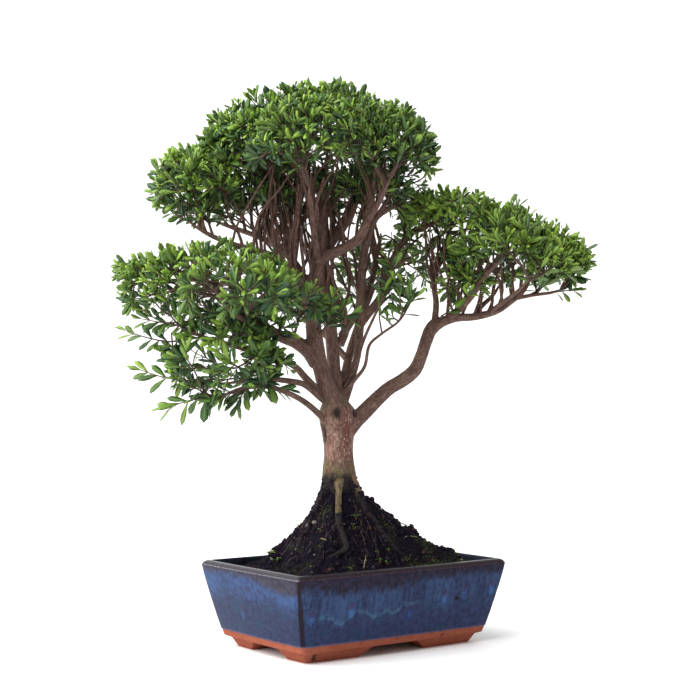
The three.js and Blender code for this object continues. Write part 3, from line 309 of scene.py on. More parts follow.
# Long loose shoots at the pads' edges: [clump, leaf length, pairs, age of its tip leaves,
# points from limb to tip]
WANDS = [
    ["left_low", 21, 7, 0.1, [[-158, -90, 334], [-192, -90, 329], [-216, -92, 333], [-238, -92, 340]]],
    ["left_low", 22, 7, 0.1, [[-140, -98, 290], [-168, -96, 288], [-196, -96, 291], [-222, -94, 299]]],
    ["left_low", 24, 7, 0.1, [[-120, -96, 276], [-150, -96, 272], [-176, -96, 266], [-198, -95, 260]]],
    ["left_low", 27, 4, 0.4, [[-82, -74, 292], [-92, -80, 287], [-82, -82, 281], [-72, -80, 279]]],
    ["left_low", 22, 5, 0.4, [[-110, -86, 284], [-118, -92, 272], [-122, -94, 264]]],
    ["left_low", 22, 5, 0.4, [[-150, -96, 300], [-176, -100, 306], [-196, -100, 316]]],
    ["left_tip", 17, 6, 0.1, [[-195, -66, 408], [-222, -74, 404], [-246, -80, 408]]],
    ["left_tip", 20, 5, 0.1, [[-182, -100, 345], [-206, -96, 352], [-224, -92, 366]]],
    ["left_tip", 20, 5, 0.1, [[-170, -98, 350], [-196, -104, 348], [-220, -104, 352]]],
    ["right_tip", 16, 5, 0.1, [[232, 86, 394], [248, 84, 396], [262, 80, 396]]],
    ["right_tip", 17, 5, 0.1, [[212, 88, 424], [228, 80, 440], [240, 76, 458]]],
    ["right_tip", 18, 5, 0.1, [[196, 82, 400], [202, 70, 440], [214, 66, 466]]],
    ["right_middle", 19, 5, 0.1, [[165, 60, 440], [176, 56, 470], [184, 56, 494]]],
    ["right_middle", 19, 2, 0.1, [[100, 56, 364], [106, 52, 368], [112, 50, 374]]],
    ["crown_far_left", 15, 5, 0.1, [[-180, -66, 460], [-196, -60, 470], [-208, -56, 484]]],
    ["crown_right", 22, 3, 0.1, [[60, 10, 520], [72, 6, 532], [80, 2, 546]]],
    ["crown_right", 20, 3, 0.1, [[62, 0, 508], [76, -6, 514], [88, -10, 526]]],
    ["gap", 26, 4, 0.1, [[31, 6, 342], [28, 4, 366], [33, 2, 388]]],
    ["gap", 20, 4, 0.1, [[50, 8, 356], [58, 8, 372], [70, 8, 384]]],
    ["gap", 12, 3, 0.1, [[44, 7, 350], [38, 6, 356], [36, 5, 362]]],
    ["gap", 11, 3, 0.1, [[50, 8, 356], [44, 7, 360], [42, 6, 366]]],
]


# Each clump's brightening of its leaves: partly young growth, partly painted light.
YOUTH_AND_PAINTED_LIGHT = {clump: youth_and_painted_light for clump, *_, youth_and_painted_light in CLUMPS}


def first_stem(clump):
    return f"{clump}_stem_1"


def place(points):
    """From [across, away, up] to the pot's own axes, one row a point."""
    across, away, up = np.asarray(points, float)[..., :3].T
    cos, sin = math.cos(VIEW_TURN), math.sin(VIEW_TURN)
    return np.stack([across * cos + away * sin, away * cos - across * sin, up]).T


def metres(points):
    """From the pot's own axes in millimetres to the frame of the part."""
    return np.asarray(points, float) * 0.001 + SHIFT


def length(rows):
    return np.linalg.norm(rows, axis=-1)


def unit(rows):
    return rows / (length(rows)[..., None] + 1e-12)


def square_to(direction, axis):
    """A direction turned square to an axis."""
    return unit(direction - axis * (direction @ axis))


def distances_along(places):
    """How far along a line each of its places is."""
    return np.concatenate([[0], np.cumsum(length(np.diff(places, axis=0)))])


def across_view(x, y):
    """How far right a place is as the tree is seen, from its X and Y in the pot's axes."""
    return x * math.cos(VIEW_TURN) - y * math.sin(VIEW_TURN)


class Draws:
    """Seeded draws between 0 and 1."""

    def __init__(self, seed):
        self.state = seed

    def __call__(self, low=0.0, high=1.0):
        self.state = self.state * 16807 % 2147483647
        return low + (high - low) * self.state / 2147483647


# Mesh helpers


def face_outward(mesh):
    """Turns the faces of a closed mesh outwards."""
    shell = bmesh.new()
    shell.from_mesh(mesh)
    bmesh.ops.recalc_face_normals(shell, faces=shell.faces)
    shell.to_mesh(mesh)
    shell.free()


def make_piece(name, points, faces=(), edges=(), closed=False):
    """A mesh object from points in the pot's axes; closed surfaces get outward faces."""
    mesh = bpy.data.meshes.new(name)
    mesh.from_pydata(metres(points).tolist(), list(edges), list(faces))
    if closed:
        face_outward(mesh)
    piece = bpy.data.objects.new(name, mesh)
    bpy.context.scene.collection.objects.link(piece)
    return piece


def store(piece, name, kind, values):
    """Writes one value a vertex into a named attribute."""
    attribute = piece.data.attributes.new(name, kind, "POINT")
    field = "vector" if kind == "FLOAT_VECTOR" else "value"
    attribute.data.foreach_set(field, np.asarray(values, float).ravel())


def vertices(piece):
    """The vertices of a piece in the pot's axes, in millimetres."""
    flat = np.empty(len(piece.data.vertices) * 3)
    piece.data.vertices.foreach_get("co", flat)
    return (flat.reshape(-1, 3) - SHIFT) * 1000


def move_vertices(piece, places):
    piece.data.vertices.foreach_set("co", metres(places).ravel())
    piece.data.update()


def settle(piece):
    """Works a piece's modifiers into a plain mesh."""
    graph = bpy.context.evaluated_depsgraph_get()
    mesh = bpy.data.meshes.new_from_object(piece.evaluated_get(graph))
    piece.modifiers.clear()
    rough = piece.data
    piece.data = mesh
    bpy.data.meshes.remove(rough)
    return piece


def paint(piece, material):
    piece.data.materials.clear()
    piece.data.materials.append(material)
    return piece


def finish_piece(piece, slot, *nodes):
    """The piece rides on the part's body, in place of CAD nodes; its slot is not used."""
    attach(piece, "root")
    if nodes:
        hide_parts(*nodes)


def loft(rings):
    """Points and faces of a closed solid through rings of equally many points."""
    rings = np.asarray(rings, float)
    count, sides = rings.shape[:2]
    faces = []
    for ring in range(count - 1):
        for side in range(sides):
            low, next_low = ring * sides + side, ring * sides + (side + 1) % sides
            faces.append([low, next_low, next_low + sides, low + sides])
    faces.append(list(range(sides))[::-1])
    faces.append(list(range((count - 1) * sides, count * sides)))
    return rings.reshape(-1, 3), faces


def smooth_steps(points, steps):
    """Catmull-Rom steps through rows of numbers, places and radii alike."""
    rows = np.asarray(points, float)
    rows = np.vstack([2 * rows[0] - rows[1], rows, 2 * rows[-1] - rows[-2]])
    out = []
    for before, start, end, after in zip(rows, rows[1:], rows[2:], rows[3:]):
        leave, arrive = (end - before) / 2, (after - start) / 2
        for t in np.arange(steps) / steps:
            out.append(start + leave * t + (3 * (end - start) - 2 * leave - arrive) * t**2
                       + (2 * (start - end) + leave + arrive) * t**3)
    return np.array(out + [rows[-2]])


def frames_along(places):
    """Tangent, normal and side at each place of a line, carried along without twist."""
    tangents = unit(np.vstack([places[1:], places[-1:]]) - np.vstack([places[:1], places[:-1]]))
    normal = np.array([0.0, 0.0, 1.0]) if abs(tangents[0][2]) < 0.9 else np.array([1.0, 0.0, 0.0])
    normals = []
    for tangent in tangents:
        normal = square_to(normal, tangent)
        normals.append(normal)
    normals = np.array(normals)
    return tangents, normals, np.cross(tangents, normals)


def add_node(tree, kind, settings, inputs):
    """Adds a node: its settings first, then each input, as a socket to link or a constant."""
    node = tree.nodes.new(kind)
    for key, value in settings.items():
        setattr(node, key, value)
    for key, value in inputs.items():
        if isinstance(value, bpy.types.NodeSocket):
            tree.links.new(value, node.inputs[key])
        else:
            node.inputs[key].default_value = value
    return node


# Geometry node trees


class NodeTree:
    """A geometry node tree with named inputs, which one modifier runs on one piece."""

    def __init__(self, name, inputs):
        self.tree = bpy.data.node_groups.new(name, "GeometryNodeTree")
        face = self.tree.interface
        face.new_socket("Geometry", in_out="INPUT", socket_type="NodeSocketGeometry")
        face.new_socket("Geometry", in_out="OUTPUT", socket_type="NodeSocketGeometry")
        self.inputs = {
            label: face.new_socket(label, in_out="INPUT", socket_type=kind).identifier
            for label, kind in inputs.items()
        }
        self.entry = self.tree.nodes.new("NodeGroupInput")
        self.exit = self.tree.nodes.new("NodeGroupOutput")

    def given(self, label):
        return self.entry.outputs[label]

    def node(self, kind, settings, inputs, output=0):
        return add_node(self.tree, kind, settings, inputs).outputs[output]

    def attribute(self, name, kind="FLOAT"):
        return self.node("GeometryNodeInputNamedAttribute", {"data_type": kind}, {"Name": name})

    def end(self, geometry):
        self.tree.links.new(geometry, self.exit.inputs["Geometry"])

    def run(self, piece, **values):
        """Runs the tree on a piece and keeps the result as its mesh."""
        modifier = piece.modifiers.new(self.tree.name, "NODES")
        modifier.node_group = self.tree
        for label, value in values.items():
            modifier[self.inputs[label.replace("_", " ")]] = value
        return settle(piece)


def bars_tree():
    """Round bars along the edges of a mesh, as thick as its thickness attribute says."""
    tree = NodeTree("Bars along lines", {"sides": "NodeSocketInt", "bark": "NodeSocketMaterial"})
    tree.end(twig_bars(tree))
    return tree


def twig_bars(tree):
    lines = tree.node("GeometryNodeMeshToCurve", {}, {"Mesh": tree.given("Geometry")})
    ring = tree.node("GeometryNodeCurvePrimitiveCircle", {},
                     {"Resolution": tree.given("sides"), "Radius": 1.0})
    bars = tree.node("GeometryNodeCurveToMesh", {}, {
        "Curve": lines, "Profile Curve": ring, "Scale": tree.attribute("thickness"),
        "Fill Caps": True,
    })
    smooth = tree.node("GeometryNodeSetShadeSmooth", {}, {"Geometry": bars, "Shade Smooth": True})
    whole = tree.node("GeometryNodeRealizeInstances", {}, {"Geometry": smooth})
    return tree.node("GeometryNodeSetMaterial", {},
                     {"Geometry": whole, "Material": tree.given("bark")})


def foliage_tree():
    """Twigs along a mesh's edges, and a leaf on each of its leaf points."""
    tree = NodeTree("Twigs and leaves", {
        "sides": "NodeSocketInt", "bark": "NodeSocketMaterial",
        "leaf shape": "NodeSocketObject", "leaf": "NodeSocketMaterial",
    })
    turn = tree.node("FunctionNodeAxesToRotation", {"primary_axis": "Y", "secondary_axis": "Z"}, {
        "Primary Axis": tree.attribute("forward", "FLOAT_VECTOR"),
        "Secondary Axis": tree.attribute("up", "FLOAT_VECTOR"),
    })
    shape = tree.node("GeometryNodeObjectInfo", {}, {"Object": tree.given("leaf shape")}, "Geometry")
    leaves = tree.node("GeometryNodeInstanceOnPoints", {}, {
        "Points": tree.given("Geometry"), "Selection": tree.attribute("is_leaf", "BOOLEAN"),
        "Instance": shape, "Rotation": turn,
        "Scale": tree.attribute("stretch", "FLOAT_VECTOR"),
    })
    whole = tree.node("GeometryNodeRealizeInstances", {}, {"Geometry": leaves})
    dressed = tree.node("GeometryNodeSetMaterial", {},
                        {"Geometry": whole, "Material": tree.given("leaf")})
    both = add_node(tree.tree, "GeometryNodeJoinGeometry", {}, {"Geometry": twig_bars(tree)})
    tree.tree.links.new(dressed, both.inputs["Geometry"])
    tree.end(both.outputs["Geometry"])
    return tree


def scatter_tree():
    """Small shapes strewn over a surface where its density attribute allows, in a fixed draw."""
    tree = NodeTree("Strewn grains", {
        "shape": "NodeSocketObject", "material": "NodeSocketMaterial",
        "density": "NodeSocketFloat", "smallest": "NodeSocketFloat", "largest": "NodeSocketFloat",
        "upright": "NodeSocketFloat", "seed": "NodeSocketInt",
    })
    density = tree.node("ShaderNodeMath", {"operation": "MULTIPLY"},
                        {0: tree.given("density"), 1: tree.attribute("density")})
    spread = add_node(
        tree.tree, "GeometryNodeDistributePointsOnFaces", {"distribute_method": "RANDOM"},
        {"Mesh": tree.given("Geometry"), "Density": density, "Seed": tree.given("seed")})

    def draw(low, high, kind, output, shift):
        seed = tree.node("ShaderNodeMath", {"operation": "ADD"},
                         {0: tree.given("seed"), 1: float(shift)})
        names = {"FLOAT": (2, 3), "FLOAT_VECTOR": (0, 1)}[kind]
        return tree.node("FunctionNodeRandomValue", {"data_type": kind},
                         {names[0]: low, names[1]: high, "Seed": seed}, output)

    loose = draw((-math.pi,) * 3, (math.pi,) * 3, "FLOAT_VECTOR", 0, 1)
    tilt = tree.node("ShaderNodeVectorMath", {"operation": "SCALE"}, {
        "Vector": loose,
        "Scale": tree.node("ShaderNodeMath", {"operation": "SUBTRACT"},
                           {0: 1.0, 1: tree.given("upright")}),
    })
    turn = tree.node("FunctionNodeRotateRotation", {"rotation_space": "LOCAL"}, {
        "Rotation": spread.outputs["Rotation"],
        "Rotate By": tree.node("FunctionNodeEulerToRotation", {}, {"Euler": tilt}),
    })
    size = draw(tree.given("smallest"), tree.given("largest"), "FLOAT", 1, 2)
    shape = tree.node("GeometryNodeObjectInfo", {}, {"Object": tree.given("shape")}, "Geometry")
    grains = tree.node("GeometryNodeInstanceOnPoints", {}, {
        "Points": spread.outputs["Points"], "Instance": shape, "Rotation": turn, "Scale": size,
    })
    tinted = tree.node("GeometryNodeStoreNamedAttribute",
                       {"data_type": "FLOAT", "domain": "INSTANCE"},
                       {"Geometry": grains, "Name": "tint", "Value": draw(0.0, 1.0, "FLOAT", 1, 3)})
    whole = tree.node("GeometryNodeRealizeInstances", {}, {"Geometry": tinted})
    tree.end(tree.node("GeometryNodeSetMaterial", {},
                       {"Geometry": whole, "Material": tree.given("material")}))
    return tree


# Materials


def srgb(red, green, blue):
    """A colour as it is seen, 0 to 255, as the shader counts it."""
    def linear(level):
        level /= 255
        return level / 12.92 if level <= 0.04045 else ((level + 0.055) / 1.055) ** 2.4
    return (linear(red), linear(green), linear(blue), 1.0)


class Value:
    """A number or vector that varies over a surface, with arithmetic."""

    def __init__(self, look, socket):
        self.look = look
        self.socket = socket

    def __add__(self, other):
        return self.look.math("ADD", self, other)

    __radd__ = __add__

    def __sub__(self, other):
        return self.look.math("SUBTRACT", self, other)

    def __rsub__(self, other):
        return self.look.math("SUBTRACT", other, self)

    def __mul__(self, other):
        return self.look.math("MULTIPLY", self, other)

    __rmul__ = __mul__

    def __truediv__(self, other):
        return self.look.math("DIVIDE", self, other)

    def __rtruediv__(self, other):
        return self.look.math("DIVIDE", other, self)


class Look:
    """A material under construction."""

    def __init__(self, name, roughness=0.5, **constants):
        self.material = bpy.data.materials.new(name)
        self.material.use_nodes = True
        self.tree = self.material.node_tree
        self.surface = self.tree.nodes["Principled BSDF"]
        self.surface.inputs["Roughness"].default_value = roughness
        for label, value in constants.items():
            self.surface.inputs[label.replace("_", " ")].default_value = value

    def node(self, kind, settings, inputs, output=0):
        """Adds a node; an input is a Value to link or a constant to set."""
        inputs = {key: getattr(value, "socket", value) for key, value in inputs.items()}
        return Value(self, add_node(self.tree, kind, settings, inputs).outputs[output])

    def math(self, operation, first, second=0.0):
        """Number math, or vector math where one side is a plain triple."""
        vectors = isinstance(first, tuple) or isinstance(second, tuple)
        kind = "ShaderNodeVectorMath" if vectors else "ShaderNodeMath"
        return self.node(kind, {"operation": operation}, {0: first, 1: second})

    def least(self, first, second):
        return self.math("MINIMUM", first, second)

    def most(self, first, second):
        return self.math("MAXIMUM", first, second)

    def part(self, vector, axis):
        return self.node("ShaderNodeSeparateXYZ", {}, {"Vector": vector}, axis)

    def vector(self, x, y, z):
        return self.node("ShaderNodeCombineXYZ", {}, {"X": x, "Y": y, "Z": z})

    def here(self):
        """The place on the object, in millimetres in the pot's own axes."""
        whole = self.node("ShaderNodeTexCoord", {}, {}, "Object")
        return (whole - tuple(SHIFT)) * (1000.0, 1000.0, 1000.0)

    def attribute(self, name, output="Fac"):
        return self.node("ShaderNodeAttribute", {"attribute_name": name}, {}, output)

    def noise(self, where, size, detail=3.0, rough=0.55, distortion=0.0):
        """Soft noise around 0.5 whose lumps are about this many millimetres."""
        return self.node("ShaderNodeTexNoise", {}, {
            "Vector": where, "Scale": 1.0 / size, "Detail": detail, "Roughness": rough,
            "Distortion": distortion,
        })

    def step(self, value, low, high):
        """0 below low, 1 above high (or the other way round), eased between."""
        return self.node("ShaderNodeMapRange", {"interpolation_type": "SMOOTHSTEP"},
                         {"Value": value, "From Min": low, "From Max": high})

    def mix(self, share, first, second):
        return self.node("ShaderNodeMix", {"data_type": "RGBA"},
                         {"Factor": share, 6: first, 7: second}, 2)

    def over(self, colour, *layers):
        """Lays shades over a colour, each by its share where a pattern goes from low to high."""
        for pattern, low, high, share, shade in layers:
            colour = self.mix(self.step(pattern, low, high) * share, colour, srgb(*shade))
        return colour

    def bump(self, height, distance):
        """Relief from a height that counts 1 as this many millimetres."""
        normal = self.node("ShaderNodeBump", {}, {"Height": height, "Distance": distance * 0.001})
        return self.wear(Normal=normal)

    def wear(self, **channels):
        for label, value in channels.items():
            self.tree.links.new(value.socket, self.surface.inputs[label.replace("_", " ")])
        return self


# Drops in the glaze: [way along the face, height]. Both long sides have the same, both short too.
LONG_DROPS = [[-118, 48], [-70, 52], [8, 43], [53, 55], [82, 58], [121, 60]]
SHORT_DROPS = [[21, 42], [1.5, 64]]
# Patterns on the short faces start this far along from those on the long ones
SHORT_SHIFT = 700.0
# A dark fleck on the long faces: [way along, height]
FLECK = [71.6, 53.8]
# The glaze ends at this height
GLAZE_END = 18.4
# How far down from the rim the brown and the blue veil reach
BROWN_REACH = 12.0
VEIL_REACH = 44.0


def glaze_drops(look, reach, z, waves, streaks):
    """How far a place lies in the halo of a drop in the glaze, and in its dark core."""
    halo, core = 0.0, 0.0
    for shift, drops in ((0.0, LONG_DROPS), (SHORT_SHIFT, SHORT_DROPS)):
        for along, height in drops:
            wide = (reach + (waves - 0.5) * 5.0 - (along + shift)) / 4.2
            tall = (z + (streaks - 0.5) * 6.0 - height) / 8.0
            far = look.math("SQRT", wide * wide + tall * tall)
            halo = look.most(halo, look.step(far, 1.15, 0.35))
            high = (z - height - 6.0) / 5.0
            core = look.most(core, look.step(wide * wide * 2.2 + high * high, 1.0, 0.3))
    return halo, core


def clay_colour(look, here, speckle):
    """Bare terracotta with dark stains and pale specks."""
    clay = look.mix(look.noise(here, 6.0, 4.0), srgb(120, 62, 46), srgb(156, 90, 70))
    return look.over(clay, (look.noise(here, 12.0, 4.0, 0.7), 0.62, 0.7, 1.0, (66, 40, 36)),
                     (speckle, 0.66, 0.76, 0.6, (160, 112, 92)))


def glaze_look():
    """Dark brown at the rim, running into blue streaks and drops, over a navy ground;
    bare terracotta below."""
    look = Look("Blue running glaze", IOR=1.5, Specular_IOR_Level=0.045)
    # Which face a place is on, and how far along it
    here = look.here()
    x, y, z = (look.part(here, axis) for axis in range(3))
    setback = look.most(21.3 - z * 0.25, 0.0)
    from_short = POT_LENGTH / 2 - setback - look.math("ABSOLUTE", x)
    from_long = POT_WIDTH / 2 - setback - look.math("ABSOLUTE", y)
    on_short = look.math("GREATER_THAN", from_long, from_short)
    on_long = 1.0 - on_short
    reach = look.node("ShaderNodeMix", {}, {"Factor": on_short, 2: x, 3: y + SHORT_SHIFT})
    side = look.vector(reach, z, 0.0)
    below_rim = POT_HEIGHT - z

    # Patterns, drawn out downwards where the glaze ran; calmer on the short faces
    streaks = look.noise(side * (1.0, 0.07, 1.0), 3.2, 4.0, 0.65)
    waves = look.noise(side * (1.0, 0.0, 1.0), 12.0, 1.5)
    swells = look.noise(side * (1.0, 0.1, 1.0), 34.0, 2.0)
    cloud = look.noise(side * (1.0, 1.6, 1.0), 24.0, 3.0)
    speckle = look.noise(here, 0.8, 2.0, 0.7)
    streaks = (streaks - 0.5) * (1.0 - on_short * 0.65) + 0.5
    swells = (swells - 0.5) * (1.0 - on_short * 0.6) + 0.5

    def two(long_side, short_side):
        return look.mix(on_short, srgb(*long_side), srgb(*short_side))

    # Navy ground, with a blue veil over it that ends in a pale fold
    mottle = look.noise(side, 6.0, 5.0, 0.7)
    ground = look.mix(look.step(mottle * 0.55 + speckle * 0.45, 0.36, 0.62),
                      two((31, 36, 60), (26, 31, 53)), two((51, 60, 93), (44, 53, 82)))
    ground = look.over(ground, (cloud, 0.5, 0.66, 0.45, (32, 55, 76)))
    hem_height = VEIL_REACH - on_short * 12.0 + (swells - 0.5) * 44.0 + (waves - 0.5) * 13.0
    over_hem = below_rim - hem_height
    flow = look.step(streaks * 0.55 + mottle * 0.45 + (swells - 0.5) * 0.5, 0.34, 0.66)
    blue = look.mix(flow, two((34, 38, 64), (33, 41, 70)), two((56, 76, 110), (54, 78, 118)))
    veil = look.step(over_hem, 12.0, -12.0) * (on_short * 0.1 + 0.85)
    ground = look.mix(veil, ground, blue)
    fold = look.step(over_hem, -5.0, 0.4) * look.step(over_hem, 2.6, 0.4)
    middle = look.step(look.math("ABSOLUTE", x + 48.0), 84.0, 50.0)
    fold = fold * on_long * (middle * 0.5 + 0.05) * look.step(mottle, 0.34, 0.6)
    ground = look.mix(fold, ground, srgb(66, 104, 128))
    ground = look.over(ground, (speckle, 0.66, 0.74, 0.35, (74, 86, 122)))

    # Drops, and a dark fleck
    halo, core = glaze_drops(look, reach, z, waves, streaks)
    drop = look.mix(flow, two((44, 62, 118), (38, 52, 92)), two((66, 108, 164), (56, 92, 140)))
    ground = look.mix(halo * 0.55, ground, drop)
    ground = look.mix(core * 0.7, ground, srgb(58, 40, 66))
    along, up = x - FLECK[0], z - FLECK[1]
    spot = look.math("SQRT", along * along + up * up)
    ground = look.mix(look.step(spot + (speckle - 0.5), 3.2, 2.2) * on_long, ground, srgb(28, 26, 36))

    # Brown that runs down from the rim, and dark where the glaze is thin on edges
    brown_end = (BROWN_REACH + on_short * (look.step(y, 10.0, -60.0) * 9.0 - 3.0)
                 + (streaks - 0.5) * 26.0 + (swells - 0.5) * 24.0 + middle * streaks * 12.0)
    brown = look.step(below_rim - brown_end, 5.5, -4.0)
    brown_colour = look.mix(look.step(mottle, 0.3, 0.7), two((27, 23, 34), (38, 34, 44)),
                            two((46, 42, 60), (58, 56, 70)))
    ground = look.mix(brown, ground, brown_colour)

    from_corner = look.most(from_short, from_long)
    edge = look.step(from_corner + (streaks - 0.5) * 2.4, 4.4, 2.0)
    ground = look.mix(edge * 0.9, ground, two((34, 22, 24), (30, 19, 22)))
    # The rim: its bevel, greyish glaze partly painted reflection; its worn line, glaze breaking to brown
    # on the long faces and a painted highlight on the short ones; and the inside
    from_rim = look.least(from_short, from_long)
    inside = look.mix(look.step(cloud, 0.3, 0.7), srgb(20, 21, 28), srgb(46, 50, 64))
    lip = look.step(below_rim, 4.6, 2.6)
    # The bevel's grey, lighter on the lit short faces, is glaze colour with a painted reflection of the
    # bright room.
    bevel_glaze_and_painted_reflection = look.mix(mottle, two((30, 24, 28), (44, 41, 46)), two((50, 42, 44), (70, 68, 70)))
    ground = look.mix(lip * 0.85, ground, bevel_glaze_and_painted_reflection)
    # The rim's line: glaze breaking to brown clay on the long faces; its white on the short faces is a
    # painted highlight.
    rim_line_gap = below_rim - 4.0 + (mottle - 0.5) * 1.6
    worn_line_and_painted_highlight = look.step(look.math("ABSOLUTE", rim_line_gap), 0.7, 0.25) * look.step(speckle, 0.44, 0.6)
    ground = look.mix(worn_line_and_painted_highlight * 0.7, ground, two((92, 66, 64), (160, 156, 160)))
    ground = look.mix(look.step(from_rim, 5.4, 6.6), ground, inside)

    # Bare clay below the glaze's pale lower edge
    line = GLAZE_END + (look.noise(side * (1.0, 0.0, 1.0), 9.0, 2.0) - 0.5) * 2.2
    bare = look.step(z - line, 0.35, -0.35)
    seam = look.step(z - line, 2.3, 0.3) * (1.0 - bare)
    ground = look.mix(seam * 0.8, ground, two((100, 86, 108), (92, 82, 106)))
    colour = look.mix(bare, ground, clay_colour(look, here, speckle))

    glossy = look.step(speckle, 0.2, 0.8) * 0.16 + 0.1
    roughness = glossy * (1.0 - bare) + bare * 0.85
    thickness = streaks * 0.3 + speckle * 0.06 + 0.6
    look.bump(look.noise(here, 1.2, 3.0) * bare * 0.35 + thickness * (1.0 - bare), 0.6)
    return look.wear(Base_Color=colour, Roughness=roughness).material


def screen_look():
    look = Look("Black plastic grid", 0.55)
    grain = look.noise(look.here(), 0.8, 2.0)
    look.bump(grain, 0.1)
    return look.wear(Base_Color=look.mix(grain, srgb(22, 23, 22), srgb(38, 39, 38))).material


def soil_look():
    """Dark crumbly mix with fibres, moss where the moss attribute says."""
    look = Look("Dark crumbly soil", 0.95, Specular_IOR_Level=0.04)
    here = look.here()
    coarse = look.noise(here, 5.0, 5.0, 0.7)
    fine = look.noise(here, 0.9, 3.0, 0.7)
    colour = look.mix(look.step(coarse, 0.35, 0.65), srgb(12, 9, 18), srgb(28, 22, 34))
    colour = look.over(colour, (fine, 0.6, 0.74, 0.6, (52, 44, 52)))
    moss = look.attribute("moss") * look.step(look.noise(here, 3.0, 3.0), 0.35, 0.6)
    green = look.mix(fine, srgb(30, 36, 20), srgb(66, 76, 38))
    colour = look.mix(moss * 0.8, colour, green)
    look.bump(coarse * 0.8 + fine * 0.6, 1.8)
    return look.wear(Base_Color=colour).material


def crumb_look():
    look = Look("Soil crumbs and grit", 0.9, Specular_IOR_Level=0.08)
    tint = look.attribute("tint")
    speck = look.noise(look.here(), 0.7, 2.0)
    colour = look.mix(speck, srgb(11, 8, 16), srgb(38, 31, 41))
    colour = look.over(colour, (tint, 0.84, 0.9, 1.0, (52, 44, 52)),
                       (tint, 0.95, 0.96, 1.0, (66, 46, 42)),
                       (tint, 0.988, 0.99, 1.0, (112, 106, 98)))
    look.bump(speck, 0.5)
    return look.wear(Base_Color=colour).material


def moss_look():
    look = Look("Moss tufts", 0.8)
    colour = look.mix(look.attribute("tint"), srgb(34, 44, 20), srgb(88, 104, 44))
    colour = look.mix(look.noise(look.here(), 1.5, 2.0) * 0.5, colour, srgb(44, 50, 26))
    return look.wear(Base_Color=colour).material


# Grey-green patches on the trunk: [across, away, up], size
GREY_PATCHES = [
    [[-33, -13, 262], 12], [[-34, -12, 240], 9], [[-35, -10, 222], 8], [[-9, -17, 268], 8],
]


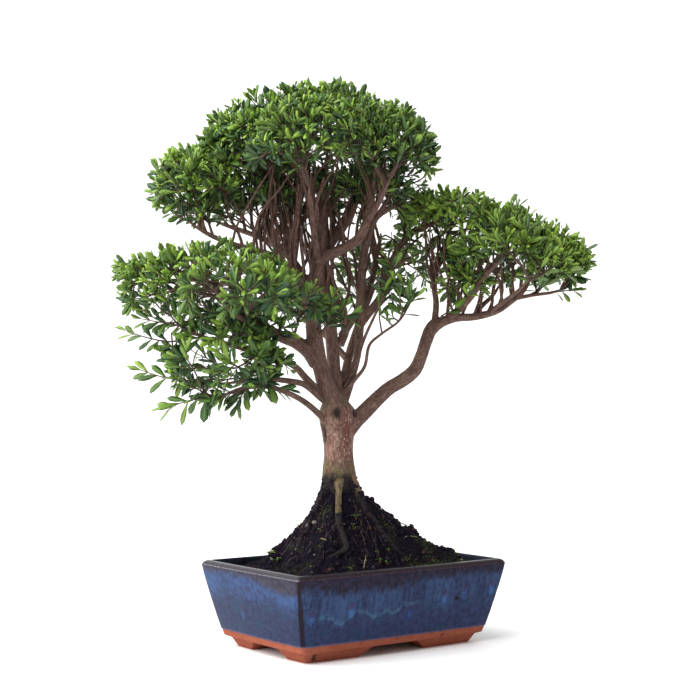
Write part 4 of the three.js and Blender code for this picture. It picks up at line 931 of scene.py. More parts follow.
def bark_look():
    """Smooth pinkish bark, flaky and mottled along the grain, mossy and darker at the foot."""
    look = Look("Myrtle bark", 0.8, Specular_IOR_Level=0.2)
    here = look.here()
    grain = look.attribute("grain", "Vector")
    rise = look.part(here, 2)
    streak = look.noise(grain * (1.0, 1.0, 0.3), 4.2, 5.0, 0.66, 0.8)
    flake = look.noise(grain * (1.0, 1.0, 0.4), 7.0, 6.0, 0.7, 1.4)
    mottle = look.noise(grain * (1.0, 1.0, 0.4), 3.6, 5.0, 0.7, 1.0)
    fleck = look.noise(grain * (1.0, 1.0, 0.45), 2.2, 3.0, 0.6, 0.6)
    patch = look.noise(here, 26.0, 3.0)

    # The trunk: blotches, a red and a pink band up its front, and peeling flakes
    trunk = look.mix(look.step(streak, 0.3, 0.7), srgb(88, 62, 55), srgb(124, 96, 86))
    blotch = look.noise(grain * (1.0, 1.0, 0.3), 10.0, 4.0, 0.6)
    across = across_view(look.part(here, 0), look.part(here, 1))
    drift = (flake - 0.5) * 14.0
    trunk = look.over(trunk, (blotch, 0.53, 0.6, 0.45, (112, 58, 46)))
    low, high = look.step(rise + drift, 196.0, 212.0), look.step(rise + drift, 276.0, 250.0)
    red = look.step(look.math("ABSOLUTE", across + 9.0 + drift), 6.0, 2.5) * low * high
    trunk = look.mix(red * 0.6, trunk, srgb(98, 54, 46))
    pink = look.step(look.math("ABSOLUTE", across + 24.0 + drift), 8.0, 3.0) * low * high
    trunk = look.mix(pink * 0.35, trunk, srgb(160, 128, 114))
    trunk = look.over(trunk, (flake, 0.52, 0.6, 0.6, (172, 144, 128)),
                      (mottle, 0.55, 0.61, 0.7, (92, 50, 44)), (fleck, 0.56, 0.62, 0.65, (62, 40, 36)),
                      (fleck, 0.42, 0.36, 0.55, (190, 164, 146)))
    # Limbs, and where the trunk's bark gives way to theirs
    limb = look.mix(look.step(streak, 0.3, 0.7), srgb(82, 61, 54), srgb(112, 88, 78))
    limb = look.over(limb, (flake, 0.54, 0.66, 0.6, (128, 110, 92)),
                     (mottle, 0.54, 0.64, 0.6, (92, 54, 46)), (fleck, 0.57, 0.63, 0.5, (46, 35, 32)),
                     (fleck, 0.42, 0.36, 0.35, (140, 120, 104)))
    edge = rise + (patch - 0.5) * 60.0 + drift * 2.0
    thick = look.step(look.attribute("girth"), 8.0, 15.0) * look.step(edge, 290.0, 226.0)
    colour = look.mix(thick, limb, trunk)
    # Grey, dark and mossy patches
    for spot, size in GREY_PATCHES:
        gap = look.node("ShaderNodeVectorMath", {"operation": "DISTANCE"},
                        {0: here, 1: tuple(place(spot))}, 1)
        grey = look.step(gap + drift, size, size * 0.4) * look.step(mottle, 0.3, 0.5)
        colour = look.mix(grey * 0.6, colour, srgb(70, 72, 58))
    dark = look.step(patch, 0.56, 0.7) * look.step(flake, 0.4, 0.56)
    colour = look.mix(dark * 0.45, colour, srgb(66, 56, 46))
    mossy = look.step(rise + (patch - 0.5) * 40.0, 210.0, 190.0)
    green = look.mix(streak, srgb(46, 52, 24), srgb(98, 104, 52))
    colour = look.mix(mossy * look.step(flake, 0.34, 0.62) * 0.85, colour, green)
    # The bare front root, the reddish strand, and soil on all other roots
    bare = look.attribute("bare")
    pale = look.mix(look.step(mottle, 0.35, 0.65), srgb(58, 54, 36), srgb(116, 102, 76))
    colour = look.mix(bare * 0.9, colour, look.mix(look.step(fleck, 0.58, 0.68), pale, srgb(34, 28, 24)))
    strand = look.attribute("strand")
    clear = look.most(bare, strand) * 80.0
    foot = look.step(rise + (flake - 0.5) * 20.0 + (mottle - 0.5) * 8.0 + clear, 192.0, 181.0)
    reddish = look.mix(mottle, srgb(84, 50, 38), srgb(132, 98, 78))
    colour = look.mix(strand * look.step(rise, 190.0, 182.0), colour, reddish)
    colour = look.mix(foot * 0.96, colour, look.mix(mottle, srgb(14, 11, 15), srgb(38, 31, 35)))
    colour = look.mix(look.attribute("knot"), colour, srgb(42, 33, 30))
    look.bump(streak * 0.4 + flake * 0.6 + mottle * 0.4 + fleck * 0.2, 1.3)
    return look.wear(Base_Color=colour).material


def twig_look():
    look = Look("Young bark", 0.75, Specular_IOR_Level=0.2)
    girth = look.attribute("thickness") * 1000.0
    speck = look.noise(look.here(), 1.6, 3.0)
    old = look.mix(speck, srgb(56, 42, 39), srgb(104, 82, 74))
    young = look.mix(speck, srgb(98, 74, 52), srgb(112, 108, 60))
    look.bump(speck, 0.25)
    return look.wear(Base_Color=look.mix(look.step(girth, 0.8, 0.5), old, young)).material


def branchlet_look():
    look = Look("Reddish young bark", 0.8, Specular_IOR_Level=0.15)
    here = look.here()
    speck = look.noise(here * (1.0, 1.0, 0.4), 2.4, 4.0, 0.65)
    patch = look.noise(here, 14.0, 3.0)
    colour = look.mix(look.step(speck, 0.32, 0.68), srgb(70, 48, 43), srgb(116, 90, 80))
    colour = look.over(colour, (patch, 0.5, 0.66, 0.5, (78, 64, 52)))
    look.bump(speck, 0.5)
    return look.wear(Base_Color=colour).material


def root_look():
    look = Look("Fine roots", 0.85, Specular_IOR_Level=0.2)
    speck = look.noise(look.here(), 2.6, 3.0)
    pale = look.mix(look.step(speck, 0.35, 0.7), srgb(26, 20, 26), srgb(88, 72, 70))
    return look.wear(Base_Color=pale).material


def speckled_look(name, roughness, gloss, size, detail, dark, light):
    """Two shades in fine specks."""
    look = Look(name, roughness, Specular_IOR_Level=gloss)
    speck = look.noise(look.here(), size, detail)
    return look.wear(Base_Color=look.mix(speck, srgb(*dark), srgb(*light))).material


def leaf_look(name, old, middle, young):
    """Satin leaf with a pale midrib; its age goes from the young tip down to old leaves."""
    look = Look(name, 0.4, Specular_IOR_Level=0.26)
    across = look.math("ABSOLUTE", look.attribute("across"))
    along = look.attribute("along")
    age = look.attribute("age")
    tint = look.attribute("tint")
    fine = look.noise(look.here(), 1.4, 2.0)
    # The age attribute also carries painted shade for shoots that face down, and painted light for the
    # brighter clumps.
    body = look.mix(look.step(age, 0.45, 1.0), middle, old)
    body = look.mix(look.step(age, 0.5, 0.05), body, young)
    # Low tints give dark teal leaves: a random spread, and painted shade where low leaves get more of
    # them; high tints give lime ones.
    body = look.over(body, (tint, 0.5, 0.1, 0.7, (34, 62, 48)), (tint, 0.86, 1.0, 0.5, (146, 170, 70)))
    rib = look.step(across, 0.14, 0.03) * look.step(along, 1.0, 0.7)
    vein = look.math("SINE", (along - across * 0.16) * 62.0) * 0.5 + 0.5
    body = look.mix(look.step(vein, 0.8, 1.0) * 0.15, body, middle)
    body = look.mix(rib * 0.4, body, srgb(122, 142, 78))
    body = look.mix(look.attribute("under") * 0.5, body, srgb(98, 118, 78))
    look.bump(rib * -0.5 + vein * 0.12 + fine * 0.1, 0.2)
    return look.wear(Base_Color=body, Roughness=fine * 0.2 + 0.3).material


def floor_look():
    look = Look("Pale floor", 0.9, Specular_IOR_Level=0.1)
    veil = look.noise(look.here(), 400.0, 2.0)
    return look.wear(Base_Color=look.mix(veil, (0.93, 0.93, 0.93, 1), (0.96, 0.96, 0.96, 1))).material


# Pot


def rim_outline():
    """The rim's outline from above: a rounded rectangle with points along its sides."""
    x, y, r = POT_LENGTH / 2, POT_WIDTH / 2, POT_CORNER
    corners = [(x - r, y - r, 0), (r - x, y - r, 1), (r - x, r - y, 2), (x - r, r - y, 3)]
    points = []
    for index, (cx, cy, quarter) in enumerate(corners):
        for angle in np.linspace(quarter, quarter + 1, 7) * math.pi / 2:
            points.append((cx + r * math.cos(angle), cy + r * math.sin(angle)))
        next_x, next_y, next_quarter = corners[(index + 1) % 4]
        start = points[-1]
        end = (next_x + r * math.cos(next_quarter * math.pi / 2),
               next_y + r * math.sin(next_quarter * math.pi / 2))
        for share in np.linspace(0, 1, 22)[1:-1]:
            points.append((start[0] + (end[0] - start[0]) * share,
                           start[1] + (end[1] - start[1]) * share))
    return np.array(points)


def tapered_box(name, profile):
    outline = rim_outline()
    x, y = POT_LENGTH / 2, POT_WIDTH / 2
    u, v = outline[:, 0] / x, outline[:, 1] / y
    rings = []
    for height, setback in profile:
        rings.append(np.stack([
            u * (x - setback + POT_BOW * (1 - v * v)),
            v * (y - setback + POT_BOW * (1 - u * u)),
            np.full(len(outline), float(height)),
        ], axis=-1))
    return make_piece(name, *loft(rings), closed=True)


def foot_gap(name, gap, reach, along_x):
    """The space between two feet: a bar with sloping ends, right through under the pot."""
    below, above = gap
    side = [(-below / 2 - 2, -1), (below / 2 + 2, -1), (above / 2, FOOT_HEIGHT),
            (-above / 2, FOOT_HEIGHT)]
    ends = []
    for end in (-reach, reach):
        ends.append([(end, s, z) if along_x else (s, end, z) for s, z in side])
    return make_piece(name, *loft(ends), closed=True)


def make_pot(glaze):
    pot = tapered_box("glazed_pot", POT_PROFILE)
    cuts = [
        tapered_box("hollow", HOLLOW_PROFILE),
        foot_gap("long_gap", LONG_FOOT_GAP, POT_WIDTH, False),
        foot_gap("short_gap", SHORT_FOOT_GAP, POT_LENGTH, True),
    ]
    x, y = FOOT_RECESS[0] / 2, FOOT_RECESS[1] / 2
    square = [(-x, -y), (x, -y), (x, y), (-x, y)]
    cuts.append(make_piece("recess", *loft([[(a, b, z) for a, b in square]
                                            for z in (-2, FOOT_HEIGHT)]), closed=True))
    for side in (-1, 1):
        ring = [(side * DRAIN_OFFSET + DRAIN_RADIUS * math.cos(a), DRAIN_RADIUS * math.sin(a))
                for a in np.arange(24) * math.pi / 12]
        cuts.append(make_piece("drain", *loft([[(a, b, z) for a, b in ring]
                                               for z in (-2, FLOOR_TOP + 4)]), closed=True))
    for cut in cuts:
        carve = pot.modifiers.new("carve", "BOOLEAN")
        carve.operation = "DIFFERENCE"
        carve.solver = "EXACT"
        carve.object = cut
    settle(pot)
    for cut in cuts:
        bpy.data.objects.remove(cut)
    pot.data.shade_smooth()
    pot.data.set_sharp_from_angle(angle=math.radians(35))
    paint(pot, glaze)
    finish_piece(pot, "glaze", "pot")


# Soil

TRUNK_FOOT = place([-15, 0, 0])


def soil_height(x, y):
    """Height of the soil's surface: a steep mound round the trunk, wider along the pot."""
    dx, dy = x - TRUNK_FOOT[0], y - TRUNK_FOOT[1]
    distance = np.hypot(dx, dy) + 1e-9
    cos, sin = dx / distance, dy / distance
    to_end = (POT_LENGTH / 2 - SOIL_SETBACK - np.sign(cos) * TRUNK_FOOT[0]) / (abs(cos) + 1e-9)
    to_side = (POT_WIDTH / 2 - SOIL_SETBACK - np.sign(sin) * TRUNK_FOOT[1]) / (abs(sin) + 1e-9)
    reach = np.minimum(to_end, to_side) - SOIL_COLLAR
    share = np.clip((distance - SOIL_COLLAR) / reach, 0, 1)
    steepness = SOIL_STEEP - SOIL_LEAN * cos
    lumps = (2.2 * np.sin(x * 0.11 + 1.3) * np.sin(y * 0.13 - 0.4)
             + 1.3 * np.sin(x * 0.23 - y * 0.17 + 2.1))
    fade = np.minimum(1, 4 * share * (1 - share))
    return SOIL_EDGE + (SOIL_CROWN - SOIL_EDGE) * (1 - share) ** steepness + lumps * fade


def noise_at(places, size, octaves=1):
    """Noise between about -1 and 1 at rows of places, with lumps of about this size."""
    return np.array([noise.fractal(Vector(p / size), 1.0, 2.0, octaves) for p in places])


def moss_share(places):
    """Where moss grows: the right slope, and patches elsewhere."""
    across = across_view(places[:, 0], places[:, 1])
    patches = noise_at(places + 40, 22.0, 2)
    slope = np.clip((across - 30) / 50, 0, 1)
    return np.clip(slope * 1.1 + patches * 1.5 - 0.35, 0, 1)


def strew(name, ground, shares, scatter, *nodes, **settings):
    """A piece of grains over the ground, as dense at each vertex as its share says, in place
    of CAD nodes where some are given."""
    grains = ground.copy()
    grains.data = ground.data.copy()
    grains.name = grains.data.name = name
    bpy.context.scene.collection.objects.link(grains)
    store(grains, "density", "FLOAT", shares)
    scatter.run(grains, **settings)
    finish_piece(grains, "soil", *nodes)


def make_mound():
    """The soil as a closed solid with a fine grid on top, its points, and which are on top."""
    half_x, half_y = POT_LENGTH / 2 - SOIL_SETBACK, POT_WIDTH / 2 - SOIL_SETBACK
    columns, rows = int(2 * half_x / SOIL_PITCH), int(2 * half_y / SOIL_PITCH)
    u, v = np.meshgrid(np.linspace(-1, 1, columns), np.linspace(-1, 1, rows))
    x = u * (half_x + POT_BOW * (1 - v * v))
    y = v * (half_y + POT_BOW * (1 - u * u))
    top = np.stack([x, y, soil_height(x, y)], axis=-1).reshape(-1, 3)
    edge = (1 - np.maximum(abs(u), abs(v))).reshape(-1)
    rough = (noise_at(top, 27.0) * 3.0 + noise_at(top, 12.0) * 3.2 + noise_at(top, 5.0) * 2.6
             + noise_at(top, 2.4) * 1.4)
    top[:, 2] += rough * np.clip(edge * 14, 0.25, 1)
    grid = np.arange(rows * columns).reshape(rows, columns)
    faces = [[grid[j, i], grid[j, i + 1], grid[j + 1, i + 1], grid[j + 1, i]]
             for j in range(rows - 1) for i in range(columns - 1)]
    rim = list(grid[0, :-1]) + list(grid[:-1, -1]) + list(grid[-1, :0:-1]) + list(grid[:0:-1, 0])
    base = top[rim] * [0.89, 0.84, 0]
    base[:, 2] = SOIL_FLOOR
    first, count = len(top), len(rim)
    for i in range(count):
        j = (i + 1) % count
        faces.append([rim[i], first + i, first + j, rim[j]])
    faces.append([first + i for i in range(count)][::-1])
    points = np.vstack([top, base])
    mound = make_piece("soil_mound", points, [[int(i) for i in f] for f in faces], closed=True)
    mound.data.shade_smooth()
    return mound, points, np.append(np.ones(first), np.zeros(count))


def make_soil(soil, crumbs, moss, tuft_shape, crumb_shape, scatter):
    mound, points, on_top = make_mound()
    share = moss_share(points)
    store(mound, "moss", "FLOAT", share)
    strew("soil_crumbs", mound, on_top, scatter, shape=crumb_shape, material=crumbs,
          density=44000.0, smallest=0.6, largest=3.0, upright=0.0, seed=11)
    strew("soil_clods", mound, on_top, scatter, shape=crumb_shape, material=crumbs,
          density=18000.0, smallest=2.4, largest=5.8, upright=0.0, seed=41)
    strew("moss_tufts", mound, on_top * share * (share > 0.25), scatter, shape=tuft_shape,
          material=moss, density=95000.0, smallest=0.6, largest=1.5, upright=0.88, seed=23)
    paint(mound, soil)
    finish_piece(mound, "soil", "soil")


def make_crumb_shape():
    """A rough lump about 1 mm across."""
    shell = bmesh.new()
    bmesh.ops.create_icosphere(shell, subdivisions=1, radius=0.0005)
    for vertex in shell.verts:
        vertex.co *= 1 + 0.45 * noise.noise(vertex.co * 2300 + Vector((3.1, 0.7, 5.2)))
    mesh = bpy.data.meshes.new("crumb")
    shell.to_mesh(mesh)
    shell.free()
    return bpy.data.objects.new("crumb", mesh)


def make_tuft_shape():
    """A tuft of six short moss leaves, about 1.6 mm tall."""
    points, faces = [], []
    for blade in range(6):
        turn = blade * math.pi / 3
        out = np.array([math.cos(turn), math.sin(turn), 0.0])
        side = np.array([-math.sin(turn), math.cos(turn), 0.0])
        low, tip = out * 0.0002, out * (0.0007 + 0.0002 * (blade % 2))
        start = len(points)
        points += [low - side * 0.00022, low + side * 0.00022, low + out * 0.0003,
                   tip + np.array([0, 0, 0.0014 - 0.0003 * (blade % 3)])]
        faces += [[start, start + 2, start + 1], [start, start + 1, start + 3],
                  [start + 1, start + 2, start + 3], [start + 2, start, start + 3]]
    mesh = bpy.data.meshes.new("tuft")
    mesh.from_pydata([tuple(p) for p in points], [], faces)
    return bpy.data.objects.new("tuft", mesh)


# Seedlings on the soil: [across, away, height]
SEEDLINGS = [
    [-91, -21, 8], [-85, -36, 7], [-24, -91, 4], [-4, -78, 4], [27, -43, 5], [27, -54, 6],
    [36, -48, 5], [39, -35, 5], [57, -35, 6], [-43, -95, 4], [2, -29, 8], [0, -36, 5],
    [-35, -42, 5], [114, 5, 6], [100, 8, 5], [-60, -8, 5], [70, 60, 7], [-30, 70, 6],
]
STRAWS = [[6, -22, 0.9], [22, -20, -0.6], [56, -8, 0.4], [-30, -60, 2.2], [10, -70, 1.4]]
PEBBLES = [[-43, -26, 3.4], [32, -24, 2.4], [77, -14, 2.0], [-66, -40, 1.8], [12, -60, 1.7]]


def on_soil(across, away, lift=0.0):
    """A place on the mound, in the pot's axes."""
    x, y, _ = place([across, away, 0])
    return np.array([x, y, soil_height(x, y) + lift])


def make_seedlings(foliage, leaf_shape, leaf, twig):
    """Short stalks with a pair of small round leaves each."""
    draw = Draws(77)
    chains, leaves = [], []
    for across, away, tall in SEEDLINGS:
        base = on_soil(across, away, -1)
        for _ in range(3):
            turn = draw(0, 2 * math.pi)
            side = np.array([math.cos(turn), math.sin(turn), 0])
            tip = base + tall * draw(0.5, 1.1) * (side * draw(0.2, 0.7) + [0, 0, 1])
            chains.append((np.array([base, (base + tip) / 2 + side, tip]), [0.35, 0.3, 0.25]))
            for way in (-1, 1):
                spread = np.array([-side[1], side[0], 0]) * way
                forward = unit(spread + side * 0.4 + [0, 0, draw(-0.1, 0.5)])
                up = unit(np.array([0, 0, 1.0]) + [draw(-0.3, 0.3) for _ in range(3)])
                up = square_to(up, forward)
                long = tall * draw(0.5, 0.85)
                leaves.append((tip, forward, up, [long * 0.72, long, long], draw(0.1, 0.5), draw()))
    piece = leafy_piece("seedlings", chains, leaves, foliage, sides=4, bark=twig,
                        leaf_shape=leaf_shape, leaf=leaf)
    finish_piece(piece, "leaf")


def make_litter(root, straw, pebble, bars):
    """Fine roots that run over the soil, bits of straw, and small stones."""
    draw = Draws(515)
    fibres = []
    for _ in range(90):
        angle, distance = draw(0, 2 * math.pi), draw(17, 64)
        heading = angle + draw(-0.7, 0.7)
        spot = TRUNK_FOOT[:2] + distance * np.array([math.cos(angle), math.sin(angle)])
        places = []
        for _ in range(int(draw(5, 13))):
            if abs(spot[0]) < 124 and abs(spot[1]) < 80:
                places.append([*spot, soil_height(*spot) + draw(-0.8, 1.8)])
            heading += draw(-0.5, 0.5)
            spot = spot + 4.2 * np.array([math.cos(heading), math.sin(heading)])
        thick = draw(0.25, 0.7)
        if len(places) > 3:
            fibres.append((np.array(places), np.linspace(thick, thick * 0.4, len(places))))
    finish_piece(bars_along("fine_roots", fibres, bars, sides=5, bark=root), "bark")
    straws = []
    for across, away, turn in STRAWS:
        start, end = on_soil(across, away, 1.0), on_soil(
            across + 15 * math.cos(turn), away + 15 * math.sin(turn), 2.0)
        straws.append((np.array([start, (start + end) / 2 + [0, 0, 0.8], end]), [0.5, 0.55, 0.35]))
    finish_piece(bars_along("straws", straws, bars, sides=6, bark=straw), "bark")
    stones = []
    for across, away, size in PEBBLES:
        ball = bmesh.new()
        bmesh.ops.create_icosphere(ball, subdivisions=3, radius=1.0)
        shape = np.array([v.co[:] for v in ball.verts])
        faces = [[v.index for v in face.verts] for face in ball.faces]
        ball.free()
        shape *= 1 + 0.25 * noise_at(shape * 20 + across, 22.0)[:, None]
        stones.append((on_soil(across, away, 0.6) + shape * size * [1, 0.8, 0.6], faces))
    piece = make_piece("pebbles", *join_meshes(stones), closed=True)
    piece.data.shade_smooth()
    finish_piece(paint(piece, pebble), "soil")


# Wood


class Line:
    """A limb or root as smooth steps with frames, to build from and to measure grain by."""

    def __init__(self, points, steps=SPAN_STEPS):
        points = np.array(points, float)
        points[-1, 3] *= LIMB_END
        rows = smooth_steps(points, steps)
        self.places = place(rows)
        self.radii = rows[:, 3]
        self.tangents, self.normals, self.sides = frames_along(self.places)
        self.along = distances_along(self.places)

    def tube(self, sides):
        """Points and faces of a round bar along the line."""
        turns = np.arange(sides) * 2 * math.pi / sides
        around = (self.normals[:, None] * np.cos(turns)[None, :, None]
                  + self.sides[:, None] * np.sin(turns)[None, :, None])
        return loft(self.places[:, None] + around * self.radii[:, None, None])


def root_line(points):
    """A root's line, set on the soil's surface by its lift."""
    rows = np.array(points, float)
    spots = place(rows)
    rows[:, 2] += soil_height(spots[:, 0], spots[:, 1])
    return Line(rows)


def join_meshes(parts):
    """Several points-and-faces pairs as one."""
    points, faces, count = [], [], 0
    for own_points, own_faces in parts:
        points.append(own_points)
        faces += [[i + count for i in face] for face in own_faces]
        count += len(own_points)
    return np.vstack(points), faces


def nearest_steps(places, lines):
    """For each place the step of the line whose bark lies nearest: line and step indices."""
    samples = np.vstack([line.places for line in lines])
    radii = np.concatenate([line.radii for line in lines])
    best = np.empty(len(places), int)
    for start in range(0, len(places), 4000):
        chunk = places[start:start + 4000]
        gap = length(chunk[:, None] - samples[None]) - radii[None]
        best[start:start + 4000] = np.argmin(gap, axis=1)
    owner = np.concatenate([np.full(len(line.places), i) for i, line in enumerate(lines)])
    step = np.concatenate([np.arange(len(line.places)) for line in lines])
    return owner[best], step[best]


def store_grain(piece, lines):
    """Attributes along and round the nearest limb, so that bark follows every limb."""
    places = vertices(piece)
    owner, step = nearest_steps(places, lines)
    grain = np.empty_like(places)
    girth = np.empty(len(places))
    for index, line in enumerate(lines):
        own = owner == index
        at = step[own]
        offset = places[own] - line.places[at]
        reach = (offset * line.tangents[at]).sum(axis=1)
        grain[own, 0] = (offset * line.normals[at]).sum(axis=1)
        grain[own, 1] = (offset * line.sides[at]).sum(axis=1)
        grain[own, 2] = line.along[at] + reach + 97 * index
        girth[own] = line.radii[at]
    store(piece, "grain", "FLOAT_VECTOR", grain)
    store(piece, "girth", "FLOAT", girth)
    return grain, girth, owner


# Below these heights roots are lumpy with soil, and crumbs cling to them; above the third the
# front root is bare. The strand is a reddish root close to the trunk's front.
LUMPY_BELOW = 178
CRUMBS_BELOW = 184
BARE_ABOVE = 136
STRAND_PLACE = [4, -12, 0]
WOOD_VOXEL = 0.0017

# Dark marks on the trunk: [across, away, up, radius, how much longer than wide]
KNOTS = [
    [-19, -20, 254, 6.5, 1.3], [-1, -8, 253, 4.5, 1.0], [-33, -10, 232, 4, 3.4],
    [-42, -16, 318, 4, 1.6],
]


def make_trunk(bark, crumbs, crumb_shape, scatter):
    """Roots, trunk and stout limbs as one skin, with ridges and knots, and soil on its foot."""
    stout = {name: Line(LIMBS[name], 8) for name in STOUT}
    roots = {name: root_line(points) for name, points in ROOTS.items()}
    lines = list(stout.values()) + list(roots.values())
    trunk = make_piece("trunk_wood", *join_meshes([line.tube(20) for line in lines]))
    remesh = trunk.modifiers.new("flow", "REMESH")
    remesh.mode = "VOXEL"
    remesh.voxel_size = WOOD_VOXEL
    soften = trunk.modifiers.new("soften", "SMOOTH")
    soften.iterations = 3
    soften.factor = 0.5
    settle(trunk)
    grain, girth, owner = store_grain(trunk, lines)
    places = vertices(trunk)
    normals = np.empty(len(places) * 3)
    trunk.data.vertex_normals.foreach_get("vector", normals)
    normals = normals.reshape(-1, 3)
    ridges = noise_at(grain * [1, 1, 0.2], 7.0) * 0.05 * girth + noise_at(grain, 3.0) * 0.16
    front = owner == list(roots).index("front_root") + len(stout)
    buried = np.clip((LUMPY_BELOW - places[:, 2]) / 14, 0, 1) * (1 - 0.85 * front)
    ridges += buried * (noise_at(places, 9.0) * 2.2 + noise_at(places, 4.5) * 1.6)
    lumps = noise_at(places, 26.0) * 0.07 * girth
    dents, marks = np.zeros(len(places)), np.zeros(len(places))
    for across, away, up, radius, taller in KNOTS:
        gap = length((places - place([across, away, up])) * [1, 1, 1 / taller]) / radius
        hollow = np.clip(1.1 - gap, 0, 1)
        dents += np.exp(-((gap - 1.5) * 2) ** 2) * 1.3 - hollow * 3.0
        marks = np.maximum(marks, hollow * 1.6)
    moved = places + normals * (ridges + lumps + dents)[:, None]
    move_vertices(trunk, moved)
    store(trunk, "knot", "FLOAT", np.clip(marks, 0, 1))
    edge = length((places - place(STRAND_PLACE)) * [1, 1, 0])
    strand = np.clip(1.4 - edge / 5, 0, 1) * np.clip((places[:, 2] - 152) / 10, 0, 1)
    store(trunk, "strand", "FLOAT", strand)
    bare = front * np.clip((places[:, 2] + noise_at(places, 8.0) * 8 - BARE_ABOVE) / 18, 0, 1)
    store(trunk, "bare", "FLOAT", bare)
    trunk.data.shade_smooth()
    paint(trunk, bark)
    ragged = noise_at(places, 9.0) * 7
    covered = ((1 - np.maximum(bare, strand)) * (1 - 0.7 * front)
               * np.clip((CRUMBS_BELOW + ragged - places[:, 2]) / 8, 0, 1))
    strew("crumbs_on_roots", trunk, covered, scatter, "trunk_and_limbs", shape=crumb_shape,
          material=crumbs, density=130000.0, smallest=1.0, largest=4.2, upright=0.0, seed=57)
    finish_piece(trunk, "bark", "trunk_and_limbs")


def make_slim_limbs(bark, bars):
    """The limbs that are too thin to flow into each other, as tapering bars."""
    slim = {name: Line(points) for name, points in LIMBS.items() if name not in STOUT}
    limbs = bars_along("slim_limbs", [(line.places, line.radii) for line in slim.values()], bars,
                       sides=12, bark=bark)
    store_grain(limbs, list(slim.values()))
    finish_piece(limbs, "bark")


def join_chains(chains):
    """Points, edges and thicknesses in metres of chains of (places, radii)."""
    points, edges, radii = [], [], []
    for places, own_radii in chains:
        first = len(points)
        points += list(places)
        radii += list(own_radii)
        edges += [(i, i + 1) for i in range(first, len(points) - 1)]
    return points, edges, np.array(radii) * 0.001


def bars_along(name, chains, bars, **settings):
    """Round bars along chains of (places, radii)."""
    points, edges, thickness = join_chains(chains)
    piece = make_piece(name, points, edges=edges)
    store(piece, "thickness", "FLOAT", thickness)
    return bars.run(piece, **settings)


# Shoots


class Nodes:
    """Every step of limb and shoot that a shoot can grow from."""

    def __init__(self, room=24000):
        self.at = np.zeros((room, 3))
        self.direction = np.zeros((room, 3))
        self.path = np.zeros(room)
        self.piece = []

    def add(self, at, direction, path, piece=None):
        index = len(self.piece)
        self.at[index] = at
        self.direction[index] = direction
        self.path[index] = path
        self.piece.append(piece)
        return index


def is_shaded(target, own):
    """Whether a place lies deep inside another clump, where no shoot would live."""
    return any(
        sum(((target - centre) / half) ** 2) < SHADED
        for index, (_, centre, half, *_) in enumerate(CLUMPS) if index != own
    )


def grow_shoot(nodes, sources, target, slant, draw):
    """A shoot from the best placed of the nodes to a target on the clump's outside."""
    way = target - nodes.at[sources]
    reach = length(way) + 1e-9
    bend = 1 - (way * nodes.direction[sources]).sum(axis=1) / reach
    cost = reach * (1 + BEND_COST * bend) + PATH_COST * nodes.path[sources]
    best = int(np.argmin(cost))
    root, reach = sources[best], reach[best]
    straight = way[best] / reach
    outward = unit(slant)
    start = unit(nodes.direction[root] * 0.55 + straight * 0.45)
    end = unit(outward * 0.5 + straight * 0.5 + [0, 0, 0.45])
    handles = [nodes.at[root], nodes.at[root] + start * reach * 0.36,
               target - end * reach * 0.3, target]
    count = max(2, math.ceil(reach / STEP))
    made = [root]
    for m in range(1, count + 1):
        t = m / count
        weights = [(1 - t) ** 3, 3 * t * (1 - t) ** 2, 3 * t * t * (1 - t), t**3]
        at = sum(weight * handle for weight, handle in zip(weights, handles))
        if m < count:
            at = at + [(draw() - 0.5) * STEP * STRAY for _ in range(3)]
        last = made[-1]
        step = at - nodes.at[last]
        made.append(nodes.add(at, unit(step), nodes.path[last] + length(step)))
    shoot = {"nodes": made, "turn": draw(), "size": draw(), "root": root}
    draw()  # one draw is left out between shoots
    return shoot


def outward_draw(k, lowest):
    """The k-th of a row of directions spread evenly over a sphere above its lowest slope."""
    u, v = (0.5 + k * 0.7548776662466927) % 1, (0.5 + k * 0.5698402909980532) % 1
    slope = 1 - u * (1 - lowest)
    level = math.sqrt(max(0, 1 - slope * slope))
    return np.array([level * math.cos(2 * math.pi * v), level * math.sin(2 * math.pi * v), slope])


def depth_in(clumps, spot):
    """How deep inside the leaves of these clumps a place is: 1 at a middle, 0 outside."""
    return max(1 - length((spot - np.array(centre)) / half)
               for name, centre, half, *_ in CLUMPS if name in clumps)


def grow_branchlets(arms, clumps, fan_centre, seed):
    """Lines of the branchlets that fan out from the arms into the clumps: (places, radii)."""
    draw = Draws(seed)
    lines = []
    for arm, count in arms.items():
        rows = smooth_steps(LIMBS[arm], 6)
        for k in range(count):
            share = 0.12 + 0.8 * (k + draw(0.1, 0.9)) / count
            at = rows[int(share * (len(rows) - 1))]
            spot = at[:3]
            heading = unit(unit(spot - fan_centre) * 0.35 + [0, 0, 0.85]
                           + [draw(-0.5, 0.5), draw(-0.5, 0.5), draw(-0.1, 0.2)])
            places, deep = [spot], 0
            enough = draw(0.25, 0.5)
            while deep < enough and len(places) < 24:
                heading = unit(heading + [draw(-0.2, 0.2), draw(-0.2, 0.2), draw(-0.08, 0.2)])
                spot = spot + heading * 8
                places.append(spot)
                deep = depth_in(clumps, spot)
            if deep < enough:
                continue
            first = min(BRANCHLET_RADIUS * draw(0.7, 1.15), at[3] * 0.8)
            lines.append((place(np.array(places)), np.linspace(first, 0.8, len(places))))
    return lines


def add_limbs(nodes):
    """Adds every step of the limbs, and gives for each limb those that can carry shoots."""
    carrying = {}
    for name, points in LIMBS.items():
        places = place(smooth_steps(points, SPAN_STEPS))
        tangents = frames_along(places)[0]
        own = [nodes.add(*row) for row in zip(places, tangents, distances_along(places))]
        carrying[name] = own[len(own) // 4:]
    return carrying


